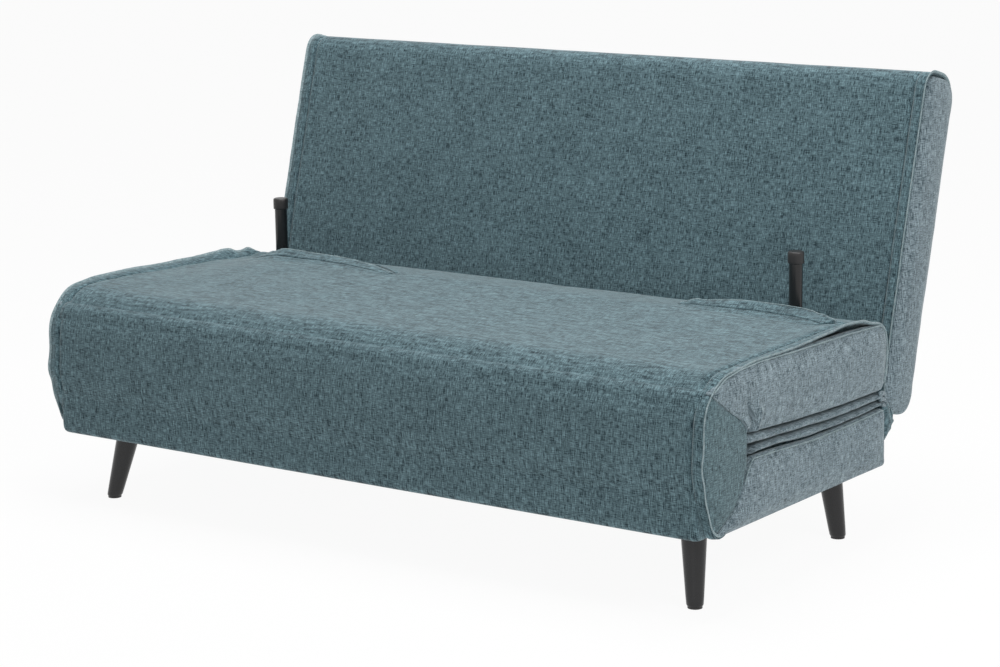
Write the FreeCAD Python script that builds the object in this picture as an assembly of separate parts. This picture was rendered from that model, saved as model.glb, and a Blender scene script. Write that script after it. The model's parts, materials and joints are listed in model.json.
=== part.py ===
import FreeCAD, Part
import math
import os

os.makedirs("parts", exist_ok=True)
V = FreeCAD.Vector

# A three-section sofa bed. The upper seat section lies upside down on the base and flips
# forward about a fold line at the front. The backrest reclines on two ratchet fittings.
# X runs along the sofa, Y to the rear and Z up. The origin is on the floor, in the middle.

# Overall sizes
overall_width = 1480.0
back_inset = 10.0
section_depth = 634.0
leg_height = 140.0
base_thickness = 129.0
seat_thickness = 155.0
back_length = 637.0
back_thickness = 115.0
back_tilt = 15.3

# Running clearances between the moving sections, and between a bolt and its hole
fold_clearance = 0.4
side_clearance = 0.3
bolt_clearance = 0.2

# Upholstery: foam beyond the frames, the two rolled bands at the fold, and the crowns
front_foam = 42.0
side_foam = 12.0
rear_foam = 14.0
band_height = 19.0
band_crease = 8.0
seat_crown = 5.0
back_crown = 4.0
nose_radius = 80.0
seat_rear_radius = 48.0
back_front_radius = 45.0
back_rear_radius = 50.0
edge_draw = 9.0
gusset_depth = 133.0
gusset_thickness = 3.0
gusset_rise = 122.0
gusset_curve = 60.0
side_bulge = 2.0
base_side_curve = 160.0
back_side_curve = 120.0
base_toe_depth = 34.0
base_toe_draw = 8.0
base_toe_rise = 80.0
base_toe_curve = 70.0

# Timber frames
rail_thickness = 25.0
base_rail_height = 60.0
seat_rail_height = 50.0
slat_thickness = 9.0
slat_width = 60.0
base_slats_per_row = 6
seat_slats_per_row = 7
deck_thickness = 4.0
leg_plate_thickness = 3.0
dust_cover_thickness = 1.0
sleeping_foam_thickness = 42.0

# Legs
foot_radius = 15.0
leg_top_radius = 24.0
foot_inset_side = 71.0
foot_inset_front = 81.0
foot_inset_rear = 47.0
leg_lean_side = 22.0
leg_lean_front = 32.0
leg_lean_rear = 0.0
leg_flats = 32
glide_thickness = 4.0
glide_lip = 2.0
leg_block_size = 140.0
leg_block_height = 25.0
leg_plate_size = 96.0
screw_radius = 2.5
screw_head_radius = 5.0
screw_head_height = 2.0
screw_length = 18.0

# Support legs on the back of the seat section, with their caps and the flaps at their feet
tube_radius = 12.5
tube_wall = 2.0
tube_clearance = 1.5
tube_inset_side = 137.0
tube_inset_rear = 95.0
cap_wall = 2.5
cap_height = 22.0
cap_floor = 4.0
socket_flange_radius = 30.0
socket_flange_thickness = 3.0
socket_height = 22.0
socket_wall = 2.5
flap_length = 420.0
flap_depth = 62.0
flap_height = 9.0
flap_past_tube = 75.0

# Fold arms and their pins
arm_thickness = 3.0
arm_gap = 0.4
eye_radius = 9.0
arm_end_radius = 14.0
arm_near = 64.0
arm_far = 144.0
spacer_width = 18.0
pin_radius = 4.5
pin_clearance = 0.05
pin_head_radius = 7.0
pin_head_height = 2.0
bolt_radius = 4.0
bolt_head_radius = 7.0
bolt_head_height = 2.0

# Ratchet fittings
pivot_depth = 20.0
pivot_rise = 21.5
end_gap = 2.5
plate_thickness = 3.0
plate_gap = 0.4
boss_radius = 14.0
tooth_root_radius = 40.0
tooth_height = 4.0
tooth_count = 3
click_positions = 5
nose_polar = 15.0
nose_half_angle = 2.0
gap_half_angle = 3.0
tooth_crest_angle = 2.0
nose_clearance = 1.0
pawl_gap = 1.8
pawl_width = 9.0
pawl_reach = 48.0
pawl_lift = 6.0
pawl_boss_radius = 8.0
stud_radius = 3.5
stud_clearance = 1.0
pawl_clearance = 0.2
spring_wire = 1.2
spring_gap = 1.2
spring_width = 1.6
fitting_bolt_inset = 20.0
fitting_bolt_pitch = 50.0
swing_bolt_rise = 42.0

# Backrest frame
back_frame_front = 52.0
back_frame_depth = 40.0
back_frame_end = 48.0
back_slats = 7

# Places that follow from the sizes above
half = overall_width / 2
back_half = half - back_inset
tilt = math.radians(back_tilt)
pivot_behind = pivot_rise + end_gap
rear_round_y = (back_thickness - back_rear_radius - pivot_depth) * math.cos(tilt)
rear_round_y += (back_length - back_rear_radius - pivot_rise) * math.sin(tilt)
rear_reach = section_depth + pivot_behind + rear_round_y + back_rear_radius
fold_y = (eye_radius - rear_reach) / 2
fold_z = leg_height + base_thickness
base_top = fold_z - fold_clearance
seat_bottom = fold_z + fold_clearance
seat_top = fold_z + seat_thickness
front_y = fold_y + fold_clearance
rear_y = fold_y + section_depth
frame_front = fold_y + front_foam
frame_rear = rear_y - rear_foam
frame_half = half - side_foam
pivot_y = rear_y + pivot_behind
pivot_z = base_top - pivot_depth
tooth_tip_radius = tooth_root_radius + tooth_height
nose_tip_radius = tooth_root_radius + nose_clearance
pawl_inner_radius = tooth_tip_radius + pawl_gap
cap_radius = tube_radius + cap_wall


def box(x0, x1, y0, y1, z0, z1):
    return Part.makeBox(x1 - x0, y1 - y0, z1 - z0, V(x0, y0, z0))


def mirrored(shape):
    return shape.mirror(V(0, 0, 0), V(1, 0, 0))


def pair(shape):
    return [mirrored(shape), shape]


def fused(*shapes):
    return shapes[0].fuse(list(shapes[1:])).removeSplitter()


def largest(shape):
    # what stays of a pad once a pocket has cut small offcuts from its corners
    return max(shape.Solids, key=lambda solid: solid.Volume)


def save(name, *solids):
    # one file for one piece, or for one group of like pieces
    found = [s for shape in solids for s in shape.Solids]
    whole = found[0] if len(found) == 1 else Part.makeCompound(found)
    whole.exportStep(f"parts/{name}.step")


def rounded(corners, plane):
    # A closed face of straight runs whose corners are tangent arcs: each corner is across, up, radius.
    # Planes are "yz", "xz" and "xy". A radius gives way where its two runs are short.
    def at(p):
        return {"yz": V(0, p[0], p[1]), "xz": V(p[0], 0, p[1]), "xy": V(p[0], p[1], 0)}[plane]

    arcs = []
    count = len(corners)
    for i, (a, b, radius) in enumerate(corners):
        before, after = corners[i - 1], corners[(i + 1) % count]
        run_in = math.hypot(a - before[0], b - before[1])
        run_out = math.hypot(after[0] - a, after[1] - b)
        way_in = ((a - before[0]) / run_in, (b - before[1]) / run_in)
        way_out = ((after[0] - a) / run_out, (after[1] - b) / run_out)
        turn = math.acos(max(-1.0, min(1.0, way_in[0] * way_out[0] + way_in[1] * way_out[1])))
        if radius <= 0 or turn < 0.0001:
            arcs.append(((a, b), None, (a, b)))
            continue
        cut = min(radius * math.tan(turn / 2), 0.49 * run_in, 0.49 * run_out)
        start = (a - way_in[0] * cut, b - way_in[1] * cut)
        end = (a + way_out[0] * cut, b + way_out[1] * cut)
        middle = ((start[0] + end[0]) / 2, (start[1] + end[1]) / 2)
        to_corner = (a - middle[0], b - middle[1])
        share = (1 / math.cos(turn / 2) - 1) / (1 / math.cos(turn / 2) - math.cos(turn / 2))
        crown = (a - to_corner[0] * share, b - to_corner[1] * share)
        arcs.append((start, crown, end))
    edges = []
    for i, (start, crown, end) in enumerate(arcs):
        if crown is not None:
            edges.append(Part.Arc(at(start), at(crown), at(end)).toShape())
        following = arcs[(i + 1) % count][0]
        if math.hypot(following[0] - end[0], following[1] - end[1]) > 0.0001:
            edges.append(Part.LineSegment(at(end), at(following)).toShape())
    return Part.Face(Part.Wire(edges))


def prism_x(face, x0, x1):
    moved = face.copy()
    moved.translate(V(x0, 0, 0))
    return moved.extrude(V(x1 - x0, 0, 0))


def prism_y(face, y0, y1):
    moved = face.copy()
    moved.translate(V(0, y0, 0))
    return moved.extrude(V(0, y1 - y0, 0))


def disc_x(y, z, radius, x0, x1):
    return Part.makeCylinder(radius, x1 - x0, V(x0, y, z), V(1, 0, 0))


def link(y0, z0, radius0, y1, z1, radius1, x0, x1):
    # a flat bar with round ends of two radii, whose sides are tangent to both
    away = math.hypot(y1 - y0, z1 - z0)
    heading = math.atan2(z1 - z0, y1 - y0)
    lean = math.acos((radius0 - radius1) / away)

    def on(y, z, radius, angle):
        return V(x0, y + radius * math.cos(angle), z + radius * math.sin(angle))

    first = on(y0, z0, radius0, heading + lean)
    second = on(y0, z0, radius0, heading - lean)
    third = on(y1, z1, radius1, heading - lean)
    fourth = on(y1, z1, radius1, heading + lean)
    edges = [
        Part.Arc(first, on(y0, z0, radius0, heading + math.pi), second).toShape(),
        Part.LineSegment(second, third).toShape(),
        Part.Arc(third, on(y1, z1, radius1, heading), fourth).toShape(),
        Part.LineSegment(fourth, first).toShape(),
    ]
    return Part.Face(Part.Wire(edges)).extrude(V(x1 - x0, 0, 0))


def hexagon(radius, centre, way, height):
    # a six-sided head or shank that stands on its centre and points along way
    ring = Part.makePolygon([V(radius * math.cos(math.radians(60 * k)),
                               radius * math.sin(math.radians(60 * k)), 0) for k in range(7)])
    solid = Part.Face(ring).extrude(V(0, 0, height))
    solid.Placement = FreeCAD.Placement(centre, FreeCAD.Rotation(V(0, 0, 1), way))
    return solid


def hexagon_x(y, z, radius, x0, x1):
    return hexagon(radius, V(x0, y, z), V(1, 0, 0), x1 - x0)


def bolt_x(y, z, face_x, shank, head_height):
    # a bolt driven towards the middle of the sofa, with its head on the face at face_x
    head = hexagon_x(y, z, bolt_head_radius, face_x, face_x + head_height)
    return fused(head, hexagon_x(y, z, bolt_radius, face_x - shank, face_x))


def bolt_bore(y, z, x0, x1):
    return hexagon_x(y, z, bolt_radius + bolt_clearance, x0, x1)


# Fold arms: on each side one flat arm on the base and one on the seat section, on one pin
base_rail_bottom = leg_height + leg_plate_thickness
base_rail_top = base_rail_bottom + base_rail_height
seat_frame_bottom = seat_bottom + sleeping_foam_thickness + slat_thickness
seat_frame_top = seat_frame_bottom + seat_rail_height
base_arm_z = (base_rail_bottom + base_rail_top) / 2 + fold_clearance
seat_arm_z = (seat_frame_bottom + seat_frame_top) / 2
base_arm_x = frame_half
seat_arm_x = base_arm_x + arm_thickness + arm_gap
arm_outer_x = seat_arm_x + arm_thickness
near_y = fold_y + arm_near
far_y = fold_y + arm_far


def fold_arm(end_z, x0, x1, grow):
    # grow is what a pocket round the arm adds to its outline
    eye = eye_radius + grow
    end = arm_end_radius + grow
    reach = link(fold_y, fold_z, eye, near_y, end_z, end, x0, x1)
    return fused(reach, link(near_y, end_z, end, far_y, end_z, end, x0, x1))


pin_hole = disc_x(fold_y, fold_z, pin_radius + pin_clearance, base_arm_x - 1, arm_outer_x + 1)
base_arm = fold_arm(base_arm_z, base_arm_x, base_arm_x + arm_thickness, 0).cut(pin_hole)
seat_arm = fold_arm(seat_arm_z, seat_arm_x, arm_outer_x, 0).cut(pin_hole)
fold_pin = disc_x(fold_y, fold_z, pin_radius, base_arm_x - pin_head_height, arm_outer_x + plate_gap)
fold_pin = fused(
    fold_pin,
    disc_x(fold_y, fold_z, pin_head_radius, base_arm_x - pin_head_height, base_arm_x),
    disc_x(fold_y, fold_z, pin_head_radius, arm_outer_x + arm_gap, arm_outer_x + arm_gap + 1.5),
)

# Bolts that hold the arms, with a packing strip that brings the seat's arm past the base's arm
arm_shank = rail_thickness * 0.8
base_arm_bolts = []
seat_arm_bolts = []
arm_spacer = box(base_arm_x, seat_arm_x, near_y - spacer_width / 2, far_y + spacer_width / 2,
                 seat_arm_z - spacer_width / 2, seat_arm_z + spacer_width / 2)
for y in (near_y, far_y):
    base_arm_bolts.append(
        bolt_x(y, base_arm_z, base_arm_x + arm_thickness, arm_shank, bolt_head_height)
    )
    seat_arm_bolts.append(bolt_x(y, seat_arm_z, arm_outer_x, arm_shank, bolt_head_height))
    bore = bolt_bore(y, seat_arm_z, base_arm_x - 1, arm_outer_x + 1)
    arm_spacer = arm_spacer.cut(bore)
    seat_arm = seat_arm.cut(bore)
    base_arm = base_arm.cut(bolt_bore(y, base_arm_z, base_arm_x - 1, seat_arm_x))

# Fitting plane: the fixed quadrant and the pawl share it, the swinging plate lies inside it
quadrant_x1 = frame_half - rail_thickness
quadrant_x0 = quadrant_x1 - plate_thickness
swing_x1 = quadrant_x0 - plate_gap
swing_x0 = swing_x1 - plate_thickness
full_recline = 90.0 - back_tilt
tooth_pitch = full_recline / click_positions


def polar(radius, angle):
    # a place about the backrest's pivot, its angle measured from the rear up
    a = math.radians(angle)
    return pivot_y + radius * math.cos(a), pivot_z + radius * math.sin(a)


def plate(points, x0, x1):
    return prism_x(rounded([(y, z, 0) for y, z in points], "yz"), x0, x1)


def pie(radius, start, end, x0, x1):
    edges = [
        Part.LineSegment(V(0, pivot_y, pivot_z), V(0, *polar(radius, start))).toShape(),
        Part.Arc(
            V(0, *polar(radius, start)),
            V(0, *polar(radius, (start + end) / 2)),
            V(0, *polar(radius, end)),
        ).toShape(),
        Part.LineSegment(V(0, *polar(radius, end)), V(0, pivot_y, pivot_z)).toShape(),
    ]
    return prism_x(Part.Face(Part.Wire(edges)), x0, x1)


# Toothed quadrant: a pressed plate bolted inside the base's side rail, with saw teeth about
# the pivot. Each gap between teeth is a position in which the pawl holds the backrest.
quadrant_bolt_z = base_rail_bottom + base_rail_height / 2
quadrant_bolts_y = (frame_rear - fitting_bolt_inset, frame_rear - fitting_bolt_inset - fitting_bolt_pitch)
last_gap = nose_polar - tooth_count * tooth_pitch


def quadrant_neck(grow, x0, x1):
    end = boss_radius + grow
    high = link(quadrant_bolts_y[0], quadrant_bolt_z, end, pivot_y, pivot_z, end, x0, x1)
    return fused(high, link(quadrant_bolts_y[1], quadrant_bolt_z, end + 1,
                            quadrant_bolts_y[0], quadrant_bolt_z, end, x0, x1))


def tooth(gap):
    steep = gap - gap_half_angle
    points = [
        polar(tooth_root_radius - 2, steep),
        polar(tooth_tip_radius, steep - 1),
        polar(tooth_tip_radius, steep - 1 - tooth_crest_angle),
        polar(tooth_root_radius - 2, gap - tooth_pitch + gap_half_angle),
    ]
    return plate(points, quadrant_x0, quadrant_x1)


quadrant = fused(
    quadrant_neck(0, quadrant_x0, quadrant_x1),
    pie(tooth_root_radius, last_gap - gap_half_angle / 2, nose_polar + gap_half_angle * 2,
        quadrant_x0, quadrant_x1),
    *[tooth(nose_polar - k * tooth_pitch) for k in range(tooth_count)],
)
pivot_bore = disc_x(pivot_y, pivot_z, bolt_radius + 1.05, swing_x0 - 1, quadrant_x1 + 1)
quadrant = quadrant.cut(pivot_bore)
quadrant_bolts = []
for y in quadrant_bolts_y:
    bore = bolt_bore(y, quadrant_bolt_z, quadrant_x0 - 1, frame_half)
    quadrant = quadrant.cut(bore)
    bolt = bolt_x(-y, quadrant_bolt_z, -quadrant_x0, arm_shank, bolt_head_height)
    quadrant_bolts.append(bolt.rotate(V(0, 0, 0), V(0, 0, 1), 180))

# Pivot pin: a shouldered rivet through both plates, fixed in the quadrant
pivot_pin = fused(
    disc_x(pivot_y, pivot_z, bolt_radius + 1, swing_x0 - plate_gap - 2, quadrant_x1 + 2),
    disc_x(pivot_y, pivot_z, boss_radius - 4, quadrant_x1, quadrant_x1 + 2),
    disc_x(pivot_y, pivot_z, boss_radius - 4, swing_x0 - plate_gap - 2, swing_x0 - plate_gap),
)


# The backrest is drawn lying along its own depth and length, then stood up about the pivot
def stand(shape):
    moved = shape.copy()
    moved.translate(V(0, -pivot_depth, -pivot_rise))
    moved.rotate(V(0, 0, 0), V(1, 0, 0), -back_tilt)
    moved.translate(V(0, pivot_y, pivot_z))
    return moved


back_frame_rear = back_frame_front + back_frame_depth
back_frame_top = back_length - back_frame_end
swing_bolts_v = (back_frame_end + swing_bolt_rise, back_frame_end + swing_bolt_rise + fitting_bolt_pitch)
swing_bolt_u = (back_frame_front + back_frame_rear) / 2

# Pawl: a curved arm outside the teeth, drawn in mesh and then swung clear of them
stud_polar = nose_polar + pawl_reach
stud_y, stud_z = polar(tooth_tip_radius + pawl_boss_radius + stud_clearance, stud_polar)


def pawl_arm(inner, outer, start, end):
    edges = [
        Part.Arc(V(0, *polar(outer, start)), V(0, *polar(outer, (start + end) / 2)),
                 V(0, *polar(outer, end))).toShape(),
        Part.LineSegment(V(0, *polar(outer, end)), V(0, *polar(inner, end))).toShape(),
        Part.Arc(V(0, *polar(inner, end)), V(0, *polar(inner, (start + end) / 2)),
                 V(0, *polar(inner, start))).toShape(),
        Part.LineSegment(V(0, *polar(inner, start)), V(0, *polar(outer, start))).toShape(),
    ]
    return Part.Face(Part.Wire(edges))


pawl_x0 = quadrant_x0 + pawl_clearance
pawl_x1 = quadrant_x1 - pawl_clearance
pawl_face = pawl_arm(pawl_inner_radius, pawl_inner_radius + pawl_width,
                     nose_polar - nose_half_angle * 1.6, stud_polar)
nose = plate(
    [
        polar(nose_tip_radius, nose_polar + nose_half_angle),
        polar(nose_tip_radius, nose_polar - nose_half_angle),
        polar(pawl_inner_radius + 1, nose_polar - nose_half_angle * 1.6),
        polar(pawl_inner_radius + 1, nose_polar + nose_half_angle * 1.6),
    ],
    pawl_x0,
    pawl_x1,
)
pawl = fused(
    prism_x(pawl_face, pawl_x0, pawl_x1),
    nose,
    disc_x(stud_y, stud_z, pawl_boss_radius, pawl_x0, pawl_x1),
).cut(disc_x(stud_y, stud_z, stud_radius + 0.1, pawl_x0 - 1, pawl_x1 + 1))
pawl.rotate(V(0, stud_y, stud_z), V(1, 0, 0), pawl_lift)

# The stud that carries the pawl, riveted in the swinging plate, and its hairpin spring
stud_end = quadrant_x1 + pawl_clearance * 2 + spring_width + 1
pawl_stud = fused(
    disc_x(stud_y, stud_z, stud_radius, swing_x0, stud_end),
    disc_x(stud_y, stud_z, stud_radius + 2, stud_end - 1, stud_end),
)
spring_x = quadrant_x1 + pawl_clearance
spring_inner = stud_radius + spring_gap
spring_coil = disc_x(stud_y, stud_z, spring_inner + spring_wire, spring_x, spring_x + spring_width)
spring_coil = spring_coil.cut(disc_x(stud_y, stud_z, spring_inner, spring_x, spring_x + spring_width))
spring_leg = box(spring_x, spring_x + spring_width, stud_y, stud_y + pawl_width,
                 stud_z + spring_inner, stud_z + spring_inner + spring_wire)
spring = fused(spring_coil, spring_leg)

# Swinging plate: from the pivot up to the backrest's side rail, which it is bolted to
swing_plate = fused(
    link(pivot_depth, pivot_rise, boss_radius, swing_bolt_u, swing_bolts_v[0], boss_radius + 3,
         swing_x0, swing_x1),
    link(swing_bolt_u, swing_bolts_v[0], boss_radius + 3, swing_bolt_u, swing_bolts_v[1],
         boss_radius + 1, swing_x0, swing_x1),
)
swing_plate = stand(swing_plate)
swing_plate = fused(
    swing_plate, link(stud_y, stud_z, pawl_boss_radius, pivot_y, pivot_z, boss_radius - 1,
                      swing_x0, swing_x1)
)
swing_plate = swing_plate.cut(pivot_bore).cut(disc_x(stud_y, stud_z, stud_radius, swing_x0, swing_x1))
swing_bolts = []
swing_bores = []
for v in swing_bolts_v:
    bolt = bolt_x(swing_bolt_u, v, swing_x1, arm_shank, bolt_head_height)
    swing_bolts.append(stand(bolt))
    swing_bores.append(stand(bolt_bore(swing_bolt_u, v, swing_x0 - rail_thickness - 1, swing_x1 + 1)))
    swing_plate = swing_plate.cut(swing_bores[-1])

# Soft outlines of the base and of the seat section, seen from the side and from the front
base_side = rounded(
    [
        (front_y, base_top, 0),
        (rear_y, base_top, 6),
        (rear_y, leg_height, 12),
        (front_y + base_toe_depth, leg_height, 14),
        (front_y + base_toe_draw, leg_height + base_toe_depth, base_toe_curve),
        (front_y, leg_height + base_toe_rise, base_toe_curve),
    ],
    "yz",
)
seat_side = rounded(
    [
        (front_y, seat_bottom, 0),
        (rear_y - 8, seat_bottom, 12),
        (rear_y, seat_bottom + 22, 20),
        (rear_y, seat_top - seat_crown, seat_rear_radius),
        (fold_y + section_depth / 2, seat_top + seat_crown / 2, section_depth * 9),
        (front_y, seat_top - seat_crown, nose_radius),
    ],
    "yz",
)


def both_sides(right, middle=()):
    # right lists x, z, radius from the lowest corner to the highest
    return right + list(middle) + [(-x, z, r) for x, z, r in reversed(right)]


base_end = rounded(
    both_sides([
        (half - edge_draw, leg_height, 5),
        (half + side_bulge, (leg_height + fold_z - band_height) / 2, base_side_curve),
        (half - band_crease, base_top - band_height, 3),
        (half + side_bulge, base_top - band_height / 2, 10),
        (half - edge_draw, base_top, 5),
    ]),
    "xz",
)
seat_end = rounded(
    both_sides(
        [
            (half - edge_draw, seat_bottom, 5),
            (half + side_bulge, seat_bottom + band_height / 2, 10),
            (half - band_crease, seat_bottom + band_height, 3),
            (half + 1, seat_bottom + band_height + 45, 120),
            (half + 1, seat_top - 24, 60),
            (half - edge_draw, seat_top - seat_crown, 12),
        ],
        [(0, seat_top + seat_crown / 2, overall_width * 12)],
    ),
    "xz",
)


def soft_form(side, end):
    wide = half + 5
    return prism_x(side, -wide, wide).common(prism_y(end, front_y - 5, rear_y + 5))


# Pockets that both sections leave round the arms, the pin and the ratchet's fixed plate
eye_room = disc_x(fold_y, fold_z, eye_radius + 8, base_arm_x - pin_head_height - 0.5, arm_outer_x + 3)
base_pocket = fused(
    eye_room,
    fold_arm(base_arm_z, base_arm_x - 0.5, base_arm_x + arm_thickness + bolt_head_height + 0.5, 1),
    quadrant_neck(1, quadrant_x0 - 0.5, quadrant_x1 + 3),
)
seat_pocket = fused(
    eye_room, fold_arm(seat_arm_z, base_arm_x - 0.5, arm_outer_x + bolt_head_height + 0.5, 1)
)


# Gussets: lens-shaped side panels over the fold arms, one half on each section
def gusset_half(z_at_fold, up):
    # up is 1 for the seat section's half and -1 for the base's half
    return rounded(
        [
            (front_y + 2, z_at_fold, 0),
            (fold_y + gusset_depth, z_at_fold, 0),
            (fold_y + gusset_depth, fold_z + up * gusset_rise * 0.42, gusset_curve),
            (fold_y + 30, fold_z + up * gusset_rise, 12),
            (front_y + 4, fold_z + up * gusset_rise * 0.7, gusset_curve),
        ],
        "yz",
    )


gusset_x = half - gusset_thickness
seat_gusset_face = gusset_half(seat_bottom, 1)
base_gusset_face = gusset_half(base_top, -1)
seat_pocket = seat_pocket.fuse(prism_x(seat_gusset_face, gusset_x - 0.1, half + 5))
base_pocket = base_pocket.fuse(prism_x(base_gusset_face, gusset_x - 0.1, half + 5))
save("base_gussets", *pair(prism_x(base_gusset_face, gusset_x, half)))
save("seat_gussets", *pair(prism_x(seat_gusset_face, gusset_x, half)))

# Base upholstery: one crowned pad on the slats, and padded borders round the frame
slat_top = base_rail_top + slat_thickness
base_form = soft_form(base_side, base_end)
low = leg_height - 1
skin = side_clearance
base_mattress = base_form.common(box(-half, half, front_y, rear_y, slat_top, fold_z))
base_mattress = base_mattress.cut(base_pocket).cut(mirrored(base_pocket))
base_side_border = base_form.common(box(frame_half, half, front_y, rear_y, low, slat_top - skin))
base_side_border = base_side_border.cut(base_pocket)
base_front_border = base_form.common(
    box(-frame_half + skin, frame_half - skin, front_y, frame_front, low, slat_top - skin)
)
base_rear_border = base_form.common(
    box(-frame_half + skin, frame_half - skin, frame_rear, rear_y, low, slat_top - skin)
)
base_rear_border = base_rear_border.cut(base_pocket).cut(mirrored(base_pocket))
save("base_mattress", largest(base_mattress))
save("base_side_borders", *pair(base_side_border))
save("base_front_border", base_front_border)
save("base_rear_border", base_rear_border)

# Base frame: side, front and rear rails, a centre rail, and two rows of flat slats
centre_half = rail_thickness / 2
inner_half = frame_half - rail_thickness
inner_front = frame_front + rail_thickness
inner_rear = frame_rear - rail_thickness


def drilled(shape, holes):
    for y, z in holes:
        shape = shape.cut(bolt_bore(y, z, inner_half - 1, frame_half + 1))
    return shape


def long_rail(bottom, top, holes):
    return drilled(box(inner_half, frame_half, frame_front, frame_rear, bottom, top), holes)


def cross_rail(y0, y1, bottom, top, end):
    return box(-end, end, y0, y1, bottom, top)


def slat_row(bottom, y_from, y_to, count):
    # slats lie across each half, between the side rail and the middle of the centre rail
    slats = []
    pitch = (y_to - y_from - slat_width) / (count - 1)
    for k in range(count):
        y = y_from + k * pitch
        slat = box(1, frame_half - 1, y, y + slat_width, bottom, bottom + slat_thickness)
        slats += pair(slat)
    return slats


base_holes = [(near_y, base_arm_z), (far_y, base_arm_z)]
base_holes += [(y, quadrant_bolt_z) for y in quadrant_bolts_y]
base_side_rail = long_rail(base_rail_bottom, base_rail_top, base_holes)
save("base_side_rails", *pair(base_side_rail))
save(
    "base_cross_rails",
    cross_rail(frame_front, inner_front, base_rail_bottom, base_rail_top, inner_half),
    cross_rail(inner_rear, frame_rear, base_rail_bottom, base_rail_top, swing_x0 - 1),
    box(-centre_half, centre_half, inner_front, inner_rear, base_rail_bottom, base_rail_top),
)
save("base_slats", *slat_row(base_rail_top, frame_front + 4, quadrant_bolts_y[1] - boss_radius - 4,
                             base_slats_per_row))

# Legs: turned tapered legs that lean outwards to the corners, each on a block and a plate
foot_x = half - foot_inset_side
foot_front_y = fold_y + foot_inset_front
foot_rear_y = rear_y - foot_inset_rear
screw_offset = leg_plate_size / 2 - 10


def leg_places(y, toward_rear):
    # the middle of the leg where it meets its glide, and at its top
    lean = leg_lean_front if toward_rear > 0 else leg_lean_rear
    foot = V(foot_x, y, 0)
    top = V(foot_x - leg_lean_side, y + toward_rear * lean, leg_height)
    return foot + (top - foot) * (glide_thickness / leg_height), top


def leg(y, toward_rear):
    # a straight taper between two level rings, the upper one nearer the middle of the sofa
    low, top = leg_places(y, toward_rear)
    rings = []
    for radius, centre in ((foot_radius, low), (leg_top_radius, top)):
        turns = [2 * math.pi * k / leg_flats for k in range(leg_flats + 1)]
        ring = [centre + V(radius * math.cos(a), radius * math.sin(a), 0) for a in turns]
        rings.append(Part.makePolygon(ring))
    return Part.makeLoft(rings, True, True)


def leg_set(y, toward_rear):
    # glide, plate, block and screws for one corner, about the top of its leg
    low, top = leg_places(y, toward_rear)
    x = top.x
    plate_y = top.y
    if toward_rear < 0:
        plate_y = min(plate_y, inner_rear - screw_offset - screw_head_radius)
    glide = Part.makeCylinder(foot_radius - glide_lip, glide_thickness, V(low.x, low.y, 0))
    side = leg_plate_size / 2
    steel = box(x - side, x + side, plate_y - side, plate_y + side, leg_height, base_rail_bottom)
    steel = steel.makeChamfer(leg_plate_size / 10, [e for e in steel.Edges if e.BoundBox.ZLength > 1])
    screws = []
    outer = leg_block_size / 2
    low_y = inner_front if toward_rear > 0 else inner_rear - outer * 2
    block_x = quadrant_x0 - bolt_head_height - 1
    wood = box(block_x - leg_block_size, block_x, low_y, low_y + outer * 2,
               base_rail_bottom, base_rail_bottom + leg_block_height)
    for dx in (-screw_offset, screw_offset):
        for dy in (-screw_offset, screw_offset):
            spot = V(x + dx, plate_y + dy, leg_height)
            head = hexagon(screw_head_radius, spot, V(0, 0, -1), screw_head_height)
            screws.append(fused(head, hexagon(screw_radius, spot, V(0, 0, 1), screw_length)))
            pilot = hexagon(screw_radius + bolt_clearance, spot, V(0, 0, 1), screw_length + 1)
            steel = steel.cut(pilot)
            wood = wood.cut(pilot)
    return glide, steel, wood, screws


glides, steels, woods, screws = [], [], [], []
for name, y, toward_rear in (("front", foot_front_y, 1), ("rear", foot_rear_y, -1)):
    right = leg(y, toward_rear)
    save(f"leg_{name}_right", right)
    save(f"leg_{name}_left", mirrored(right))
    glide, steel, wood, heads = leg_set(y, toward_rear)
    glides += pair(glide)
    steels += pair(steel)
    woods += pair(wood)
    for head in heads:
        screws += pair(head)
save("leg_glides", *glides)
save("leg_plates", *steels)
save("leg_blocks", *woods)
save("leg_screws", *screws)

# Dust cover: a thin cloth under the base, cut away round the leg plates
dust_cover = box(-frame_half + 1, frame_half - 1, frame_front + 1, frame_rear - 1,
                 base_rail_bottom - dust_cover_thickness, base_rail_bottom)
for steel in steels:
    b = steel.BoundBox
    dust_cover = dust_cover.cut(box(b.XMin - 1, b.XMax + 1, b.YMin - 1, b.YMax + 1,
                                    leg_height, base_rail_bottom + 1))
save("dust_cover", dust_cover)

# Fold arms, spacers, pins and bolts of both sides
save("base_fold_arms", *pair(base_arm))
save("seat_fold_arms", *pair(seat_arm))
save("fold_pins", *pair(fold_pin))
save("base_bolts", *[m for b in base_arm_bolts + quadrant_bolts for m in pair(b)])
save("seat_bolts", *[m for b in seat_arm_bolts for m in pair(b)])
save("seat_arm_spacers", *pair(arm_spacer))

# Seat section upholstery, with the holes that the support legs come up through
seat_form = soft_form(seat_side, seat_end)
sleeping_top = seat_bottom + sleeping_foam_thickness
deck_top = seat_frame_top + deck_thickness
tube_x = half - tube_inset_side
tube_y = rear_y - tube_inset_rear
tube_rise = 2 * fold_z - seat_frame_bottom
tube_room = Part.makeCylinder(tube_radius + tube_clearance, tube_rise, V(tube_x, tube_y, seat_frame_bottom))
high = seat_top + 20
sleeping_foam = seat_form.common(box(-half, half, front_y, rear_y, seat_bottom - 1, sleeping_top))
sleeping_foam = sleeping_foam.cut(seat_pocket).cut(mirrored(seat_pocket))
seat_foam = seat_form.common(box(-half, half, front_y, rear_y, deck_top, high))
seat_foam = seat_foam.cut(tube_room).cut(mirrored(tube_room))
seat_foam = seat_foam.cut(seat_pocket).cut(mirrored(seat_pocket))
between = (sleeping_top + skin, deck_top - skin)
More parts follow.
